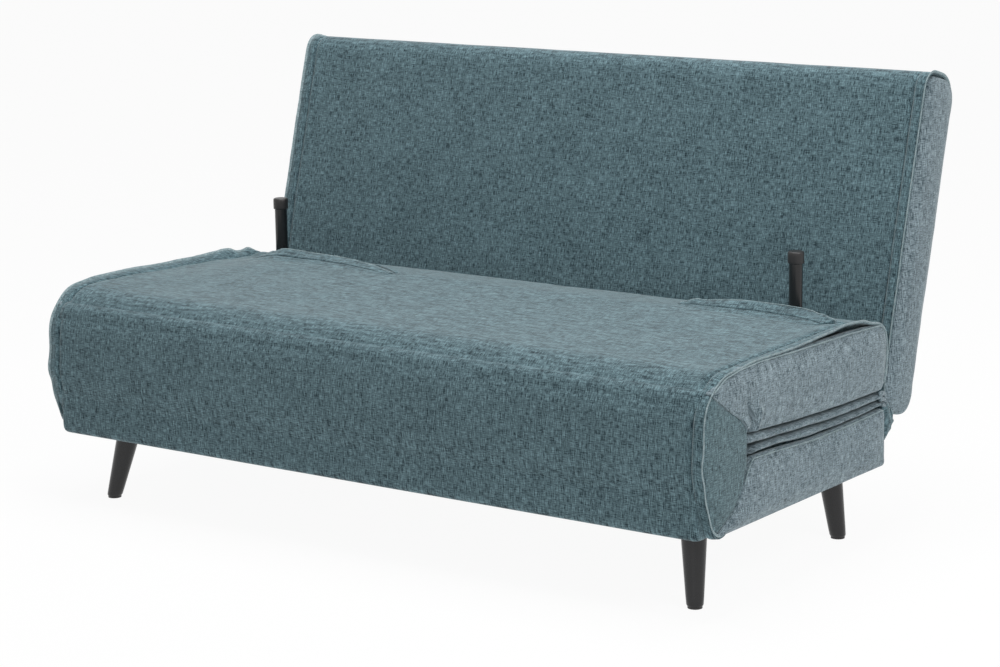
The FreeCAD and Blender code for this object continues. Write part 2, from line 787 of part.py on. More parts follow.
seat_side_border = seat_form.common(box(frame_half, half, front_y, rear_y, *between)).cut(seat_pocket)
seat_front_border = seat_form.common(
    box(-frame_half + skin, frame_half - skin, front_y, frame_front, *between)
)
seat_rear_border = seat_form.common(
    box(-frame_half + skin, frame_half - skin, frame_rear, rear_y, *between)
)
save("sleeping_foam", largest(sleeping_foam))
save("seat_foam", seat_foam)
save("seat_side_borders", *pair(seat_side_border))
save("seat_front_border", seat_front_border)
save("seat_rear_border", seat_rear_border)

# Seat frame: rails, a leg rail under the support legs, slats below and a deck above
seat_holes = [(near_y, seat_arm_z), (far_y, seat_arm_z)]
save("seat_side_rails", *pair(long_rail(seat_frame_bottom, seat_frame_top, seat_holes)))
save(
    "seat_end_rails",
    cross_rail(frame_front, inner_front, seat_frame_bottom, seat_frame_top, inner_half),
    cross_rail(inner_rear, frame_rear, seat_frame_bottom, seat_frame_top, inner_half),
)
leg_rail_half = socket_flange_radius + 4
save(
    "seat_inner_rails",
    cross_rail(tube_y - leg_rail_half, tube_y + leg_rail_half, seat_frame_bottom,
               seat_frame_bottom + rail_thickness, inner_half),
    box(-centre_half, centre_half, inner_front, tube_y - leg_rail_half, seat_frame_bottom,
        seat_frame_top),
)
save("seat_slats", *slat_row(sleeping_top, frame_front + 4, frame_rear - 4, seat_slats_per_row))
deck_hole = Part.makeCylinder(socket_flange_radius + 3, tube_rise, V(tube_x, tube_y, seat_frame_bottom))
deck = box(-frame_half + 1, frame_half - 1, frame_front + 1, frame_rear - 1, seat_frame_top, deck_top)
save("seat_deck", deck.cut(deck_hole).cut(mirrored(deck_hole)))

# Support legs: steel tubes in flanged sockets, with moulded end caps. Flipped forward, the
# seat section stands on them, so their caps end twice as high as the fold line.
leg_rail_top = seat_frame_bottom + rail_thickness
tube_end = 2 * fold_z
tube_bottom = leg_rail_top + socket_flange_thickness
socket = fused(
    Part.makeCylinder(socket_flange_radius, socket_flange_thickness, V(tube_x, tube_y, leg_rail_top)),
    Part.makeCylinder(tube_radius + socket_wall, socket_flange_thickness + socket_height,
                      V(tube_x, tube_y, leg_rail_top)),
)
tube_bore = Part.makeCylinder(tube_radius, tube_rise, V(tube_x, tube_y, tube_bottom))
socket = socket.cut(tube_bore)
cap_seat = tube_end - cap_floor
tube = Part.makeCylinder(tube_radius, cap_seat - tube_bottom, V(tube_x, tube_y, tube_bottom))
tube = tube.cut(Part.makeCylinder(tube_radius - tube_wall, cap_seat - tube_bottom,
                                  V(tube_x, tube_y, tube_bottom)))
cap = Part.makeCylinder(cap_radius, cap_height, V(tube_x, tube_y, tube_end - cap_height))
cap = cap.cut(Part.makeCylinder(tube_radius, cap_height - cap_floor,
                                V(tube_x, tube_y, tube_end - cap_height)))
save("tube_sockets", *pair(socket))
save("support_tube_right", tube)
save("support_tube_left", mirrored(tube))
save("tube_cap_right", cap)
save("tube_cap_left", mirrored(cap))

# Flaps of cover cloth that lie on the seat and hide the slots at the support legs' feet
flap_outer = tube_x + flap_past_tube
flap_face = rounded(
    [
        (tube_y - flap_depth / 2, seat_top + seat_crown, 3),
        (tube_y, seat_top + seat_crown + 2 * flap_height, 60),
        (tube_y + flap_depth / 2, seat_top + seat_crown, 3),
        (tube_y + flap_depth / 2, seat_top - 3, 0),
        (tube_y - flap_depth / 2, seat_top - 3, 0),
    ],
    "yz",
)
flap = prism_x(flap_face, flap_outer - flap_length, flap_outer).cut(seat_form)
flap = flap.cut(tube_room)
save("hem_flap_right", flap)
save("hem_flap_left", mirrored(flap))

# Backrest outlines: along its depth and length, and along its width and depth
back_side = rounded(
    [
        (0, 0, back_front_radius),
        (back_thickness, 0, back_rear_radius),
        (back_thickness, back_length, back_rear_radius),
        (0, back_length, back_front_radius),
        (-back_crown, back_length / 2, back_length * 9),
    ],
    "yz",
)
back_plan = rounded(
    [
        (back_half - edge_draw, 0, 14),
        (back_half + side_bulge, back_thickness / 2, back_side_curve),
        (back_half - edge_draw, back_thickness, 14),
        (-back_half + edge_draw, back_thickness, 14),
        (-back_half - side_bulge, back_thickness / 2, back_side_curve),
        (-back_half + edge_draw, 0, 14),
        (0, -back_crown, overall_width * 12),
    ],
    "xy",
)
back_form = prism_x(back_side, -back_half - 5, back_half + 5)
back_form = back_form.common(back_plan.extrude(V(0, 0, back_length + 20)))

# Room inside the backrest for its frame, and for the fitting at each lower corner
stile_outer = swing_x0
stile_inner = stile_outer - rail_thickness
fitting_room = fused(
    disc_x(pivot_depth, pivot_rise, pawl_inner_radius + pawl_width + 9, swing_x0 - 0.4, quadrant_x1 + 3.5),
    disc_x(pivot_depth, pivot_rise, boss_radius, swing_x0 - plate_gap - 2.5, swing_x0),
    box(swing_x0 - 0.4, swing_x1 + 3.5, back_frame_front - 16, back_frame_rear + 1,
        back_frame_end - 16, swing_bolts_v[1] + boss_radius + 2),
)


def back_slice(u0, u1, v0, v1, x0, x1):
    piece = back_form.common(box(x0, x1, u0, u1, v0, v1))
    return piece.cut(fitting_room).cut(mirrored(fitting_room))


wide = back_half + 5
over = back_length + 5
front_u = back_frame_front - slat_thickness
save("back_front_foam", stand(back_slice(-10, front_u - skin, -5, over, -wide, wide)))
save("back_rear_pad", stand(back_slice(back_frame_rear + skin, back_thickness + 5, -5, over, -wide, wide)))
back_side_border = back_slice(front_u, back_frame_rear, back_frame_end, back_frame_top,
                              stile_outer + skin, wide)
save("back_side_borders", *pair(stand(back_side_border)))
back_bottom_border = back_slice(front_u, back_frame_rear, -5, back_frame_end - skin, -wide, wide)
back_top_border = back_slice(front_u, back_frame_rear, back_frame_top + skin, over, -wide, wide)
save("back_end_borders", stand(back_bottom_border), stand(back_top_border))

# Backrest frame: side, top and bottom rails, a centre rail, and slats across the front
side_rail = stand(box(stile_inner, stile_outer, back_frame_front, back_frame_rear,
                      back_frame_end, back_frame_top))
for bore in swing_bores:
    side_rail = side_rail.cut(bore)
save("back_side_rails", *pair(side_rail))


def back_rail(v0, v1):
    return stand(box(-stile_inner, stile_inner, back_frame_front, back_frame_rear, v0, v1))


save("back_end_rails", back_rail(back_frame_end, back_frame_end + rail_thickness),
     back_rail(back_frame_top - rail_thickness, back_frame_top))
save("back_centre_rail", stand(box(-centre_half, centre_half, back_frame_front, back_frame_rear,
                                   back_frame_end + rail_thickness, back_frame_top - rail_thickness)))
slats = []
slat_step = (back_frame_top - back_frame_end - slat_width - 8) / (back_slats - 1)
for k in range(back_slats):
    v = back_frame_end + 4 + k * slat_step
    slats += pair(stand(box(1, stile_outer - 1, front_u, back_frame_front, v, v + slat_width)))
save("back_slats", *slats)

# Ratchet fittings of both sides
save("ratchet_quadrant_right", quadrant)
save("ratchet_quadrant_left", mirrored(quadrant))
save("pivot_pins", *pair(pivot_pin))
save("swing_plate_right", swing_plate)
save("swing_plate_left", mirrored(swing_plate))
save("back_bolts", *[m for b in swing_bolts for m in pair(b)])
save("pawl_studs", *pair(pawl_stud))
save("pawl_right", pawl)
save("pawl_left", mirrored(pawl))
save("pawl_springs", *pair(spring))
print("fold line", round(fold_y, 2), round(fold_z, 2), "pivot", round(pivot_y, 2), round(pivot_z, 2),
      "stud", round(stud_y, 3), round(stud_z, 3), "level", round(full_recline, 2))
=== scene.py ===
import bmesh
import bpy
import json
import math
from mathutils import Matrix, Vector, noise


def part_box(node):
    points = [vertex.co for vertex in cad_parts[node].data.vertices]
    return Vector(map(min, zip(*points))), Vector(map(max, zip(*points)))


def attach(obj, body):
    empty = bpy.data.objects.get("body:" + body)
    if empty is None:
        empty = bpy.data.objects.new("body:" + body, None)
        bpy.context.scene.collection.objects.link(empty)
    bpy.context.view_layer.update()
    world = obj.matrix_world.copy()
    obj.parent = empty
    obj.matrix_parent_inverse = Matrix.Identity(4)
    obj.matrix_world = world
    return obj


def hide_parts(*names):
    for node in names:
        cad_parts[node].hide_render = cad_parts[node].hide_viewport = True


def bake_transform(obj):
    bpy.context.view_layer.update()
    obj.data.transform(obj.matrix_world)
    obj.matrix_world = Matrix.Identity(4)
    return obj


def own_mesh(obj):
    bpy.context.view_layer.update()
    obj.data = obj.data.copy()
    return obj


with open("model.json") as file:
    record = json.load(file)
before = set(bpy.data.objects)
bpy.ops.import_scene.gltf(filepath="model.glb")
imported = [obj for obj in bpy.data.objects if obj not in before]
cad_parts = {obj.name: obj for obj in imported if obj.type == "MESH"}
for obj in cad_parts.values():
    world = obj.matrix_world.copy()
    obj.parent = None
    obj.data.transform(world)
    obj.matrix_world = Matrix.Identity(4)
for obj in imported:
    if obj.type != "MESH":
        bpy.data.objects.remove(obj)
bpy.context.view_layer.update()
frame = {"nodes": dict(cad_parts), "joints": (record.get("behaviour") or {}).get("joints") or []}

# Camera
# Where the photograph was taken from: to the right of the front, a little above the backrest,
# with a long lens. It looks level enough that upright edges stay almost parallel.
CAMERA_PLACE = Vector((3.00766, -4.20594, 1.42517))
CAMERA_AZIMUTH = math.radians(35.468)
CAMERA_ELEVATION = math.radians(11.889)
CAMERA_ROLL = math.radians(-0.856)
CAMERA_LENS, CAMERA_SENSOR = 99.29, 36.0

camera_data = bpy.data.cameras.new("camera")
camera_data.lens = CAMERA_LENS
camera_data.sensor_width = CAMERA_SENSOR
camera = bpy.data.objects.new("camera", camera_data)
bpy.context.scene.collection.objects.link(camera)
backward = Vector((
    math.sin(CAMERA_AZIMUTH) * math.cos(CAMERA_ELEVATION),
    -math.cos(CAMERA_AZIMUTH) * math.cos(CAMERA_ELEVATION),
    math.sin(CAMERA_ELEVATION),
))
level = (-backward).cross(Vector((0, 0, 1))).normalized()
upward = level.cross(-backward)
right = level * math.cos(CAMERA_ROLL) + upward * math.sin(CAMERA_ROLL)
upward = upward * math.cos(CAMERA_ROLL) - level * math.sin(CAMERA_ROLL)
camera.matrix_world = Matrix((
    (right.x, upward.x, backward.x, CAMERA_PLACE.x),
    (right.y, upward.y, backward.y, CAMERA_PLACE.y),
    (right.z, upward.z, backward.z, CAMERA_PLACE.z),
    (0, 0, 0, 1),
))
bpy.context.scene.camera = camera


# Floor and studio light
# A plain pale floor that runs on behind the sofa, one large soft lamp overhead, one to the
# right and a weaker one in front, and an even pale world.
FLOOR_SIZE = 30.0
FLOOR_GLOW = 0.94
SKY_STRENGTH = 0.36
LAMPS = {
    # name: place, aim, size, power
    "overhead": ((0.1, 0.0, 3.5), (0, 0, 0.4), 2.2, 82.0),
    "right_side": ((3.7, -0.9, 3.1), (0, -0.1, 0.5), 1.5, 60.0),
    "front_fill": ((2.2, -5.0, 2.6), (0, 0, 0.4), 2.4, 18.0),
}


def painted(name, colour, roughness):
    # a material of one colour, and its shader
    material = bpy.data.materials.new(name)
    material.use_nodes = True
    shader = material.node_tree.nodes["Principled BSDF"]
    shader.inputs["Base Color"].default_value = (*colour, 1)
    shader.inputs["Roughness"].default_value = roughness
    return material, shader


class Graph:
    # a short way to write the nodes of a material or of the world
    def __init__(self, owner):
        self.nodes = owner.node_tree.nodes
        self.links = owner.node_tree.links

    def put(self, socket, value):
        if isinstance(value, bpy.types.NodeSocket):
            self.links.new(value, socket)
        else:
            socket.default_value = value

    def node(self, kind, values):
        # a new node; values are given by the number or the name of its sockets
        node = self.nodes.new(kind)
        for key, value in values.items():
            self.put(node.inputs[key], value)
        return node

    def math(self, operation, a, b=0.0, c=0.0):
        node = self.node("ShaderNodeMath", {0: a, 1: b, 2: c})
        node.operation = operation
        return node.outputs[0]

    def choose(self, share, low, high):
        return self.node("ShaderNodeMix", {0: share, 2: low, 3: high}).outputs[0]

    def blend_colours(self, share, low, high):
        node = self.nodes.new("ShaderNodeMix")
        node.data_type = "RGBA"
        for key, value in ((0, share), (6, (*low, 1)), (7, (*high, 1))):
            self.put(node.inputs[key], value)
        return node.outputs[2]

    def vector(self, x, y, z):
        return self.node("ShaderNodeCombineXYZ", {0: x, 1: y, 2: z}).outputs[0]

    def parts(self, source):
        return self.node("ShaderNodeSeparateXYZ", {0: source}).outputs

    def place(self):
        return self.nodes.new("ShaderNodeTexCoord").outputs

    def noise(self, where, scale, detail=2.0, roughness=0.5):
        values = {"Vector": where, "Scale": scale, "Detail": detail, "Roughness": roughness}
        return self.node("ShaderNodeTexNoise", values).outputs["Fac"]

    def bump(self, height, strength, distance, normal=None):
        values = {"Strength": strength, "Distance": distance, "Height": height}
        if normal is not None:
            values["Normal"] = normal
        return self.node("ShaderNodeBump", values).outputs[0]

    def seen(self, *ways):
        # 1 for what the camera sees itself or in one of the given ways, else 0
        path = self.nodes.new("ShaderNodeLightPath").outputs
        share = path["Is Camera Ray"]
        for way in ways:
            share = self.math("MAXIMUM", share, path[way])
        return share

    def surface(self, output, share, first, second):
        # the two shaders mixed, as what the material or the world shows
        mixed = self.node("ShaderNodeMixShader", {"Fac": share, 1: first, 2: second})
        self.put(self.nodes[output].inputs["Surface"], mixed.outputs[0])


reach = FLOOR_SIZE / 2
floor_mesh = bpy.data.meshes.new("floor")
floor_mesh.from_pydata(
    [(-reach, -reach, 0), (reach, -reach, 0), (reach, reach, 0), (-reach, reach, 0)],
    [], [(0, 1, 2, 3)])
floor = bpy.data.objects.new("floor", floor_mesh)
bpy.context.scene.collection.objects.link(floor)
floor_material, floor_shader = painted("pale_floor", (0.9, 0.9, 0.9), 0.9)
floor_mesh.materials.append(floor_material)
# it shows nearly white to the camera and in reflections, and still takes the shadow
g = Graph(floor_material)
glow = g.node("ShaderNodeEmission", {"Strength": 1.0})
share = g.math("MULTIPLY", g.seen("Is Glossy Ray"), FLOOR_GLOW)
g.surface("Material Output", share, floor_shader.outputs[0], glow.outputs[0])

world = bpy.data.worlds.new("studio")
world.use_nodes = True
bpy.context.scene.world = world
g = Graph(world)
sky = g.nodes["Background"]
sky.inputs["Color"].default_value = (1.0, 1.0, 1.0, 1)
sky.inputs["Strength"].default_value = SKY_STRENGTH
bright = g.node("ShaderNodeBackground", {"Color": (1.0, 1.0, 1.0, 1), "Strength": 1.0})
share = g.seen("Is Glossy Ray", "Is Transmission Ray")
g.surface("World Output", share, sky.outputs[0], bright.outputs[0])

for name, (place, aim, size, power) in LAMPS.items():
    data = bpy.data.lights.new(name, "AREA")
    data.size = size
    data.energy = power
    lamp = bpy.data.objects.new(name, data)
    lamp.location = place
    lamp.rotation_mode = "QUATERNION"
    lamp.rotation_quaternion = (Vector(aim) - Vector(place)).to_track_quat("-Z", "Y")
    bpy.context.scene.collection.objects.link(lamp)
bpy.context.scene.view_settings.view_transform = "Standard"


# Cover cloth
# A teal-grey melange weave: two sets of threads with uneven thickness and lighter slubs. It
# follows each surface by where it faces, so that the threads run on over the rounded edges.
YARNS = [
    # how fine the threads are across and along the cloth, seed, share in the tone
    (760.0, 66.0, 0.0, 0.50), (76.0, 760.0, 7.0, 0.42), (300.0, 11.0, 9.0, 0.14),
]
SLUBS = (26.0, 120.0, 5.0)
FACES_SIDEWAYS, FACES_REARWARD = 0.72, 0.38
CLOTH = {"Sheen Weight": 0.5, "Sheen Roughness": 0.4, "Sheen Tint": (0.88, 0.97, 1.0, 1),
         "Specular IOR Level": 0.2}


def srgb(red, green, blue):
    # a colour as it is seen on screen, in steps of 255, turned into light
    steps = [v / 255 for v in (red, green, blue)]
    return tuple(v / 12.92 if v <= 0.04045 else ((v + 0.055) / 1.055) ** 2.4 for v in steps)


def on_cloth(g):
    # across and along the cloth: x and z - y on faces that look to the front, up or down,
    # x and y + z on those that look to the rear, y and z on those that look sideways; and
    # how far the face lies level
    place = g.place()
    x, y, z = g.parts(place["Object"])
    nx, ny, nz = g.parts(place["Normal"])
    sideways = g.math("GREATER_THAN", g.math("ABSOLUTE", nx), FACES_SIDEWAYS)
    rearward = g.math("GREATER_THAN", ny, FACES_REARWARD)
    along = g.choose(rearward, g.math("ADD", y, z), g.math("SUBTRACT", z, y))
    return g.choose(sideways, x, y), g.choose(sideways, along, z), g.math("ABSOLUTE", nz)


def weave(name, dark, light, contrast):
    # dark and light are the two yarns; contrast is how clearly single threads stand out
    material, shader = painted(name, dark, 0.85)
    g = Graph(material)
    across, along, level = on_cloth(g)

    def yarns(across_scale, along_scale, seed):
        where = g.vector(g.math("MULTIPLY", across, across_scale),
                         g.math("MULTIPLY", along, along_scale), seed)
        return g.noise(where, 1.0, 2.0, 0.6)

    threads = 0.0
    for across_scale, along_scale, seed, weight in YARNS:
        threads = g.math("MULTIPLY_ADD", yarns(across_scale, along_scale, seed), weight, threads)
    fuzz = g.noise(g.vector(across, along, 3.0), 1000.0, 1.0)
    threads = g.math("MULTIPLY_ADD", fuzz, 0.16, threads)
    # the slubs, and painted sheen: the slub pattern is made stronger where the cloth lies level,
    # which paints the streaky sheen on the lit seat top
    slubs_and_painted_sheen = g.math("SUBTRACT", yarns(*SLUBS), 0.5)
    slubs_and_painted_sheen = g.math("MULTIPLY", slubs_and_painted_sheen, g.math("MULTIPLY_ADD", level, 0.26, 0.06))
    threads = g.math("ADD", slubs_and_painted_sheen, threads)
    cloud = g.noise(g.vector(across, along, 11.0), 9.0, 3.0, 0.6)
    tone = g.math("MULTIPLY_ADD", g.math("SUBTRACT", threads, 0.61), contrast, 0.42)
    tone = g.math("MULTIPLY_ADD", g.math("SUBTRACT", cloud, 0.5), 0.26, tone)
    tone = g.node("ShaderNodeClamp", {0: tone}).outputs[0]
    g.put(shader.inputs["Base Color"], g.blend_colours(tone, dark, light))
    g.put(shader.inputs["Roughness"], g.math("MULTIPLY_ADD", threads, 0.2, 0.7))
    soft = g.bump(cloud, 0.2, 0.004)
    g.put(shader.inputs["Normal"], g.bump(threads, 0.5, 0.0014, soft))
    for socket, value in CLOTH.items():
        shader.inputs[socket].default_value = value
    return material


COVER = weave("cover_cloth", srgb(10, 34, 43), srgb(124, 153, 161), 4.4)
# a lighter copy of the cover cloth for the parts along the sides: painted light, for the light and
# sheen that the sides catch from the right
SIDE_COVER_PAINTED_LIGHT = weave("side_cover_cloth_painted_light", srgb(36, 57, 66), srgb(166, 184, 192), 4.2)
# a copy of the cover cloth kept darker than the side pads beside it: painted shade, for the gussets
# that look shaded and with less sheen
GUSSET_COVER_PAINTED_SHADE = weave("gusset_cloth_painted_shade", srgb(14, 40, 47), srgb(122, 150, 157), 4.6)
# a much lighter copy of the cover cloth for the lips, the piping and the hem edges: a painted
# highlight along these lit sewn edges
LIP_COVER_PAINTED_HIGHLIGHT = weave("seam_edge_cloth_painted_highlight", srgb(78, 102, 108), srgb(186, 203, 207), 3.0)


# Outlines and swept forms
# Every cushion starts as an outline seen from the side, in millimetres, that is carried along
# the width of the sofa and drawn in at both ends.
MM = 0.001
CORNER_SHARE = 0.49     # how much of a side the rounding at one of its ends may take
CLOTH_FRAMES = 20
CLOTH_PRESSURE = 3.0
CLOTH_STIFFNESS = 15.0


def joint_place(name):
    return Vector([j for j in frame["joints"] if j["name"] == name][0]["pos_m"]) / MM


fold, pivot = joint_place("seat_fold"), joint_place("backrest_recline")
FOLD_Y, FOLD_Z = fold.y, fold.z


def outline(corners, step, closed=True):
    # corners are (across, up, radius); the result is points a step apart, rounded at the corners
    points = []
    count = len(corners)
    for i, (a, b, radius) in enumerate(corners):
        here = Vector((a, b))
        at_end = not closed and i in (0, count - 1)
        if at_end or radius <= 0:
            points.append(here)
            continue
        before = Vector(corners[i - 1][:2])
        after = Vector(corners[(i + 1) % count][:2])
        way_in, way_out = (here - before).normalized(), (after - here).normalized()
        turn = way_in.angle(way_out, 0.0)
        if turn < 0.01:
            points.append(here)
            continue
        cut = min(radius * math.tan(turn / 2), CORNER_SHARE * (here - before).length,
                  CORNER_SHARE * (after - here).length)
        start, end = here - way_in * cut, here + way_out * cut
        pieces = max(4, int(turn * 12))
        for k in range(pieces + 1):
            t = k / pieces
            # a quadratic curve pulled a little towards the corner is close to an arc
            points.append(start * (1 - t) ** 2 + here * 2 * t * (1 - t) + end * t ** 2)
    if closed:
        points.append(points[0])
    lengths = [0.0]
    for p, q in zip(points, points[1:]):
        lengths.append(lengths[-1] + (q - p).length)
    total = lengths[-1]
    wanted = max(8, round(total / step))
    result, j = [], 0
    for k in range(wanted + (0 if closed else 1)):
        s = total * k / wanted
        while j < len(points) - 2 and lengths[j + 1] < s:
            j += 1
        run = lengths[j + 1] - lengths[j]
        t = (s - lengths[j]) / run if run > 0 else 0.0
        result.append(points[j].lerp(points[j + 1], min(max(t, 0.0), 1.0)))
    return result


def add_mesh(name, points, faces, material):
    mesh = bpy.data.meshes.new(name)
    mesh.from_pydata(points, [], faces)
    mesh.validate()
    mesh.update()
    mesh.polygons.foreach_set("use_smooth", [True] * len(mesh.polygons))
    mesh.materials.append(material)
    piece = bpy.data.objects.new(name, mesh)
    bpy.context.scene.collection.objects.link(piece)
    return piece


def rings_joined(rows, count, first=0):
    # the faces between rings of points; first is the number of the first point
    faces = []
    for row in range(rows - 1):
        here, above = first + row * count, first + (row + 1) * count
        for i in range(count):
            j = (i + 1) % count
            faces.append((here + i, here + j, above + j, above + i))
    return faces


def ring_ends(rows, count, first=0):
    # the two faces that close the first and the last ring
    last = first + (rows - 1) * count
    return [tuple(first + i for i in reversed(range(count))), tuple(last + i for i in range(count))]


def closed_up(piece, gap=0.0, sides=0):
    # all faces look out of the closed form; where a gap is given, points nearer than it are
    # joined first, and holes of up to so many sides filled
    b = bmesh.new()
    b.from_mesh(piece.data)
    if gap:
        bmesh.ops.remove_doubles(b, verts=b.verts, dist=gap)
        bmesh.ops.holes_fill(b, edges=[e for e in b.edges if e.is_boundary], sides=sides)
    bmesh.ops.recalc_face_normals(b, faces=b.faces)
    b.to_mesh(piece.data)
    b.free()
    return piece


def sweep(name, loop, core, ends, spacing, material, shape=None):
    # loop: closed outline in y and z. core: for each point, what it shrinks to at the ends.
    # ends: (x, share kept of the outline), from the inside of the right end to its middle.
    # shape: moves a finished point, given the point and its place along the loop
    inner = ends[0][0]
    across = max(2, round(2 * inner / spacing))
    stations = [(-x, share) for x, share in reversed(ends)]
    stations += [(-inner + 2 * inner * k / across, 1.0) for k in range(1, across)]
    stations += list(ends)
    points = []
    n = len(loop)
    for x, share in stations:
        for i, (p, c) in enumerate(zip(loop, core)):
            at = c.lerp(p, share)
            spot = Vector((x, at.x, at.y))
            if shape is not None:
                spot = shape(spot, i / n, share)
            points.append(spot * MM)
    return closed_up(add_mesh(name, points, rings_joined(len(stations), n), material), 0.0002, 6)


def midline(loop, start, end):
    # for each point of a long outline, the nearest place on the line down its middle
    run = end - start
    shares = [max(0.0, min(1.0, (p - start).dot(run) / run.length_squared)) for p in loop]
    return [start + run * t for t in shares]


def relax(piece, cap, rim):
    # cloth that is blown up a little inside its own outline, with no point moved past the cap;
    # all that lies further in than the rim is held
    mesh = piece.data
    start = [v.co.copy() for v in mesh.vertices]
    cloth = piece.modifiers.new("soft", "CLOTH")
    settings = cloth.settings
    settings.use_pressure = True
    settings.uniform_pressure_force = CLOTH_PRESSURE
    settings.effector_weights.gravity = 0
    settings.tension_stiffness = CLOTH_STIFFNESS
    settings.compression_stiffness = CLOTH_STIFFNESS
    settings.shear_stiffness = CLOTH_STIFFNESS / 3
    settings.bending_stiffness = 0.5
    settings.quality = 4
    cloth.collision_settings.use_collision = False
    cloth.point_cache.frame_start = 1
    cloth.point_cache.frame_end = CLOTH_FRAMES
    held = [v.index for v in mesh.vertices if v.co.x / MM < rim]
    piece.vertex_groups.new(name="held").add(held, 1.0, "REPLACE")
    settings.vertex_group_mass = "held"
    scene = bpy.context.scene
    for k in range(1, CLOTH_FRAMES + 1):
        scene.frame_set(k)
        bpy.context.view_layer.update()
    graph = bpy.context.evaluated_depsgraph_get()
    settled = piece.evaluated_get(graph).to_mesh()
    moved = [v.co.copy() for v in settled.vertices]
    piece.evaluated_get(graph).to_mesh_clear()
    piece.modifiers.remove(cloth)
    for v, a, b in zip(mesh.vertices, start, moved):
        way = b - a
        if way.length > cap * MM:
            way *= cap * MM / way.length
        v.co = a + way
    scene.frame_set(1)
    mesh.update()


def subdivided(piece, levels=1):
    modifier = piece.modifiers.new("subdivision", "SUBSURF")
    modifier.levels = levels
    modifier.render_levels = levels
    graph = bpy.context.evaluated_depsgraph_get()
    done = bpy.data.meshes.new_from_object(piece.evaluated_get(graph))
    piece.modifiers.clear()
    piece.data = done
    return piece


def ease(value, low, high):
    t = max(0.0, min(1.0, (value - low) / (high - low)))
    return t * t * (3 - 2 * t)


def groove(across, centre, width):
    # a smooth hump, 1 at its centre
    return math.exp(-((across - centre) / width) ** 2)


def ripple(spot, size, seed):
    # an even, repeatable unevenness between -1 and 1
    return noise.noise(Vector((spot.x / size + seed, spot.y / size, spot.z / size)))


# Front and seat cover
# One long panel of cover cloth over thin wadding. It runs from the back of the seat over its
# top, round the nose and down to the legs, with a stitched seam beside each side edge.
seat_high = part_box("seat_foam")[1] / MM
HALF = seat_high.x
REAR_Y = seat_high.y
SEAT_TOP = 422.0
FRONT_Y = FOLD_Y - 10.0
FLOOR_GAP = 139.0
COVER_THICK = 8.0
SEAM_IN = 25.0
SEAM_DEPTH = 5.4
SEAM_WIDTH = 2.8
STITCH_PITCH = 4.6
# relief of the cloth: ridge beside the seam, swell of the strip beyond it, crown across the
# whole width, puckers, large and small unevenness, and the rise over the fold arms
SEAM_RIDGE, STRIP_SWELL, CROWN, PUCKER = 1.3, 1.6, 2.0, 0.9
UNEVEN_LARGE, UNEVEN_SMALL, ARM_RISE = 1.3, 0.5, 2.6
cover_path = [
    (REAR_Y - 16, FOLD_Z + 24, 0),
    (REAR_Y, FOLD_Z + 38, 24),
    (REAR_Y, SEAT_TOP - 17, 50),
    (40.0, SEAT_TOP + 0.5, 220),
    (FRONT_Y + 58, SEAT_TOP - 4.5, 82),
    (FRONT_Y + 7, SEAT_TOP - 56, 82),
    (FRONT_Y + 1, FOLD_Z + 28, 120),
    (FRONT_Y, FOLD_Z - 12, 120),
    (FRONT_Y + 10, FOLD_Z - 58, 80),
    (FRONT_Y + 31, FLOOR_GAP + 20, 60),
    (FRONT_Y + 46, FLOOR_GAP, 16),
    (FRONT_Y + 70, FLOOR_GAP + 2, 6),
    (FRONT_Y + 82, FLOOR_GAP + 9, 0),
]
cover_line = outline(cover_path, 9.0, closed=False)


def face_out(line, i):
    # which way the line's surface looks at one of its points
    way = (line[min(i + 1, len(line) - 1)] - line[max(i - 1, 0)]).normalized()
    return Vector((way.y, -way.x))


def offset(line, distance):
    # the same open line, moved sideways towards the inside of the sofa
    return [p - face_out(line, i) * distance for i, p in enumerate(line)]


def nearest(line, y, z):
    # the number of the point of a line that is nearest to a place
    return min(range(len(line)), key=lambda i: (line[i] - Vector((y, z))).length)


cover_inner = offset(cover_line, COVER_THICK)
cover_loop = cover_line + list(reversed(cover_inner))
thin_line = offset(cover_line, 1.2)
cover_core = thin_line + list(reversed(thin_line))
SEAM_AT = HALF - SEAM_IN


def past_seam(seam, rest):
    # rows close together at a seam, then the rest as (x, share of the outline)
    return [(seam + x, 1.0) for x in (-40, -28, -18, -10, -5.5, -3, -1.2, 0)] + rest


COVER_ENDS = past_seam(SEAM_AT, [
    (SEAM_AT + 1.2, 0.9), (SEAM_AT + 3, 0.8), (SEAM_AT + 6, 0.65), (SEAM_AT + 11, 0.5),
    (SEAM_AT + 16, 0.4), (HALF - 3, 0.32), (HALF - 1, 0.16), (HALF - 0.6, 0.0)])
# how high the sewn edges stand along the top and up the front, and how far the cloth beside
# the left seam lies lower
RIGHT_EDGE = [(-440, 0), (-400, -2.5), (-352, -1.5), (-291, 2.5), (-145, -0.5), (-37, 1.5),
              (48, 5), (92, 6.5), (136, 1), (160, 0)]
LEFT_EDGE = [(-440, 0), (-380, 4), (-318, 8), (-241, 7), (-83, 0), (-1, -2), (40, -1), (68, 3),
             (86, 3), (106, -3), (122, -2), (142, 4), (160, 0), (190, -2)]
FRONT_EDGE = [(142, 0), (178, -2), (215, -2.5), (248, -4.5), (258, -1.5), (280, -1), (290, -2.5),
              (305, -4), (340, -2), (372, -0.5), (396, 0)]
LEFT_VALLEY = [(-440, 0), (-344, -5), (-268, -3), (-110, 5), (-29, 9), (55, 13), (110, 10),
               (150, 2), (170, 0)]


def profile(table, y):
    # the value at y of a table of (y, value), with smooth changes between its rows
    if y <= table[0][0]:
        return table[0][1]
    for (y0, v0), (y1, v1) in zip(table, table[1:]):
        if y <= y1:
            return v0 + (v1 - v0) * ease(y, y0, y1)
    return table[-1][1]


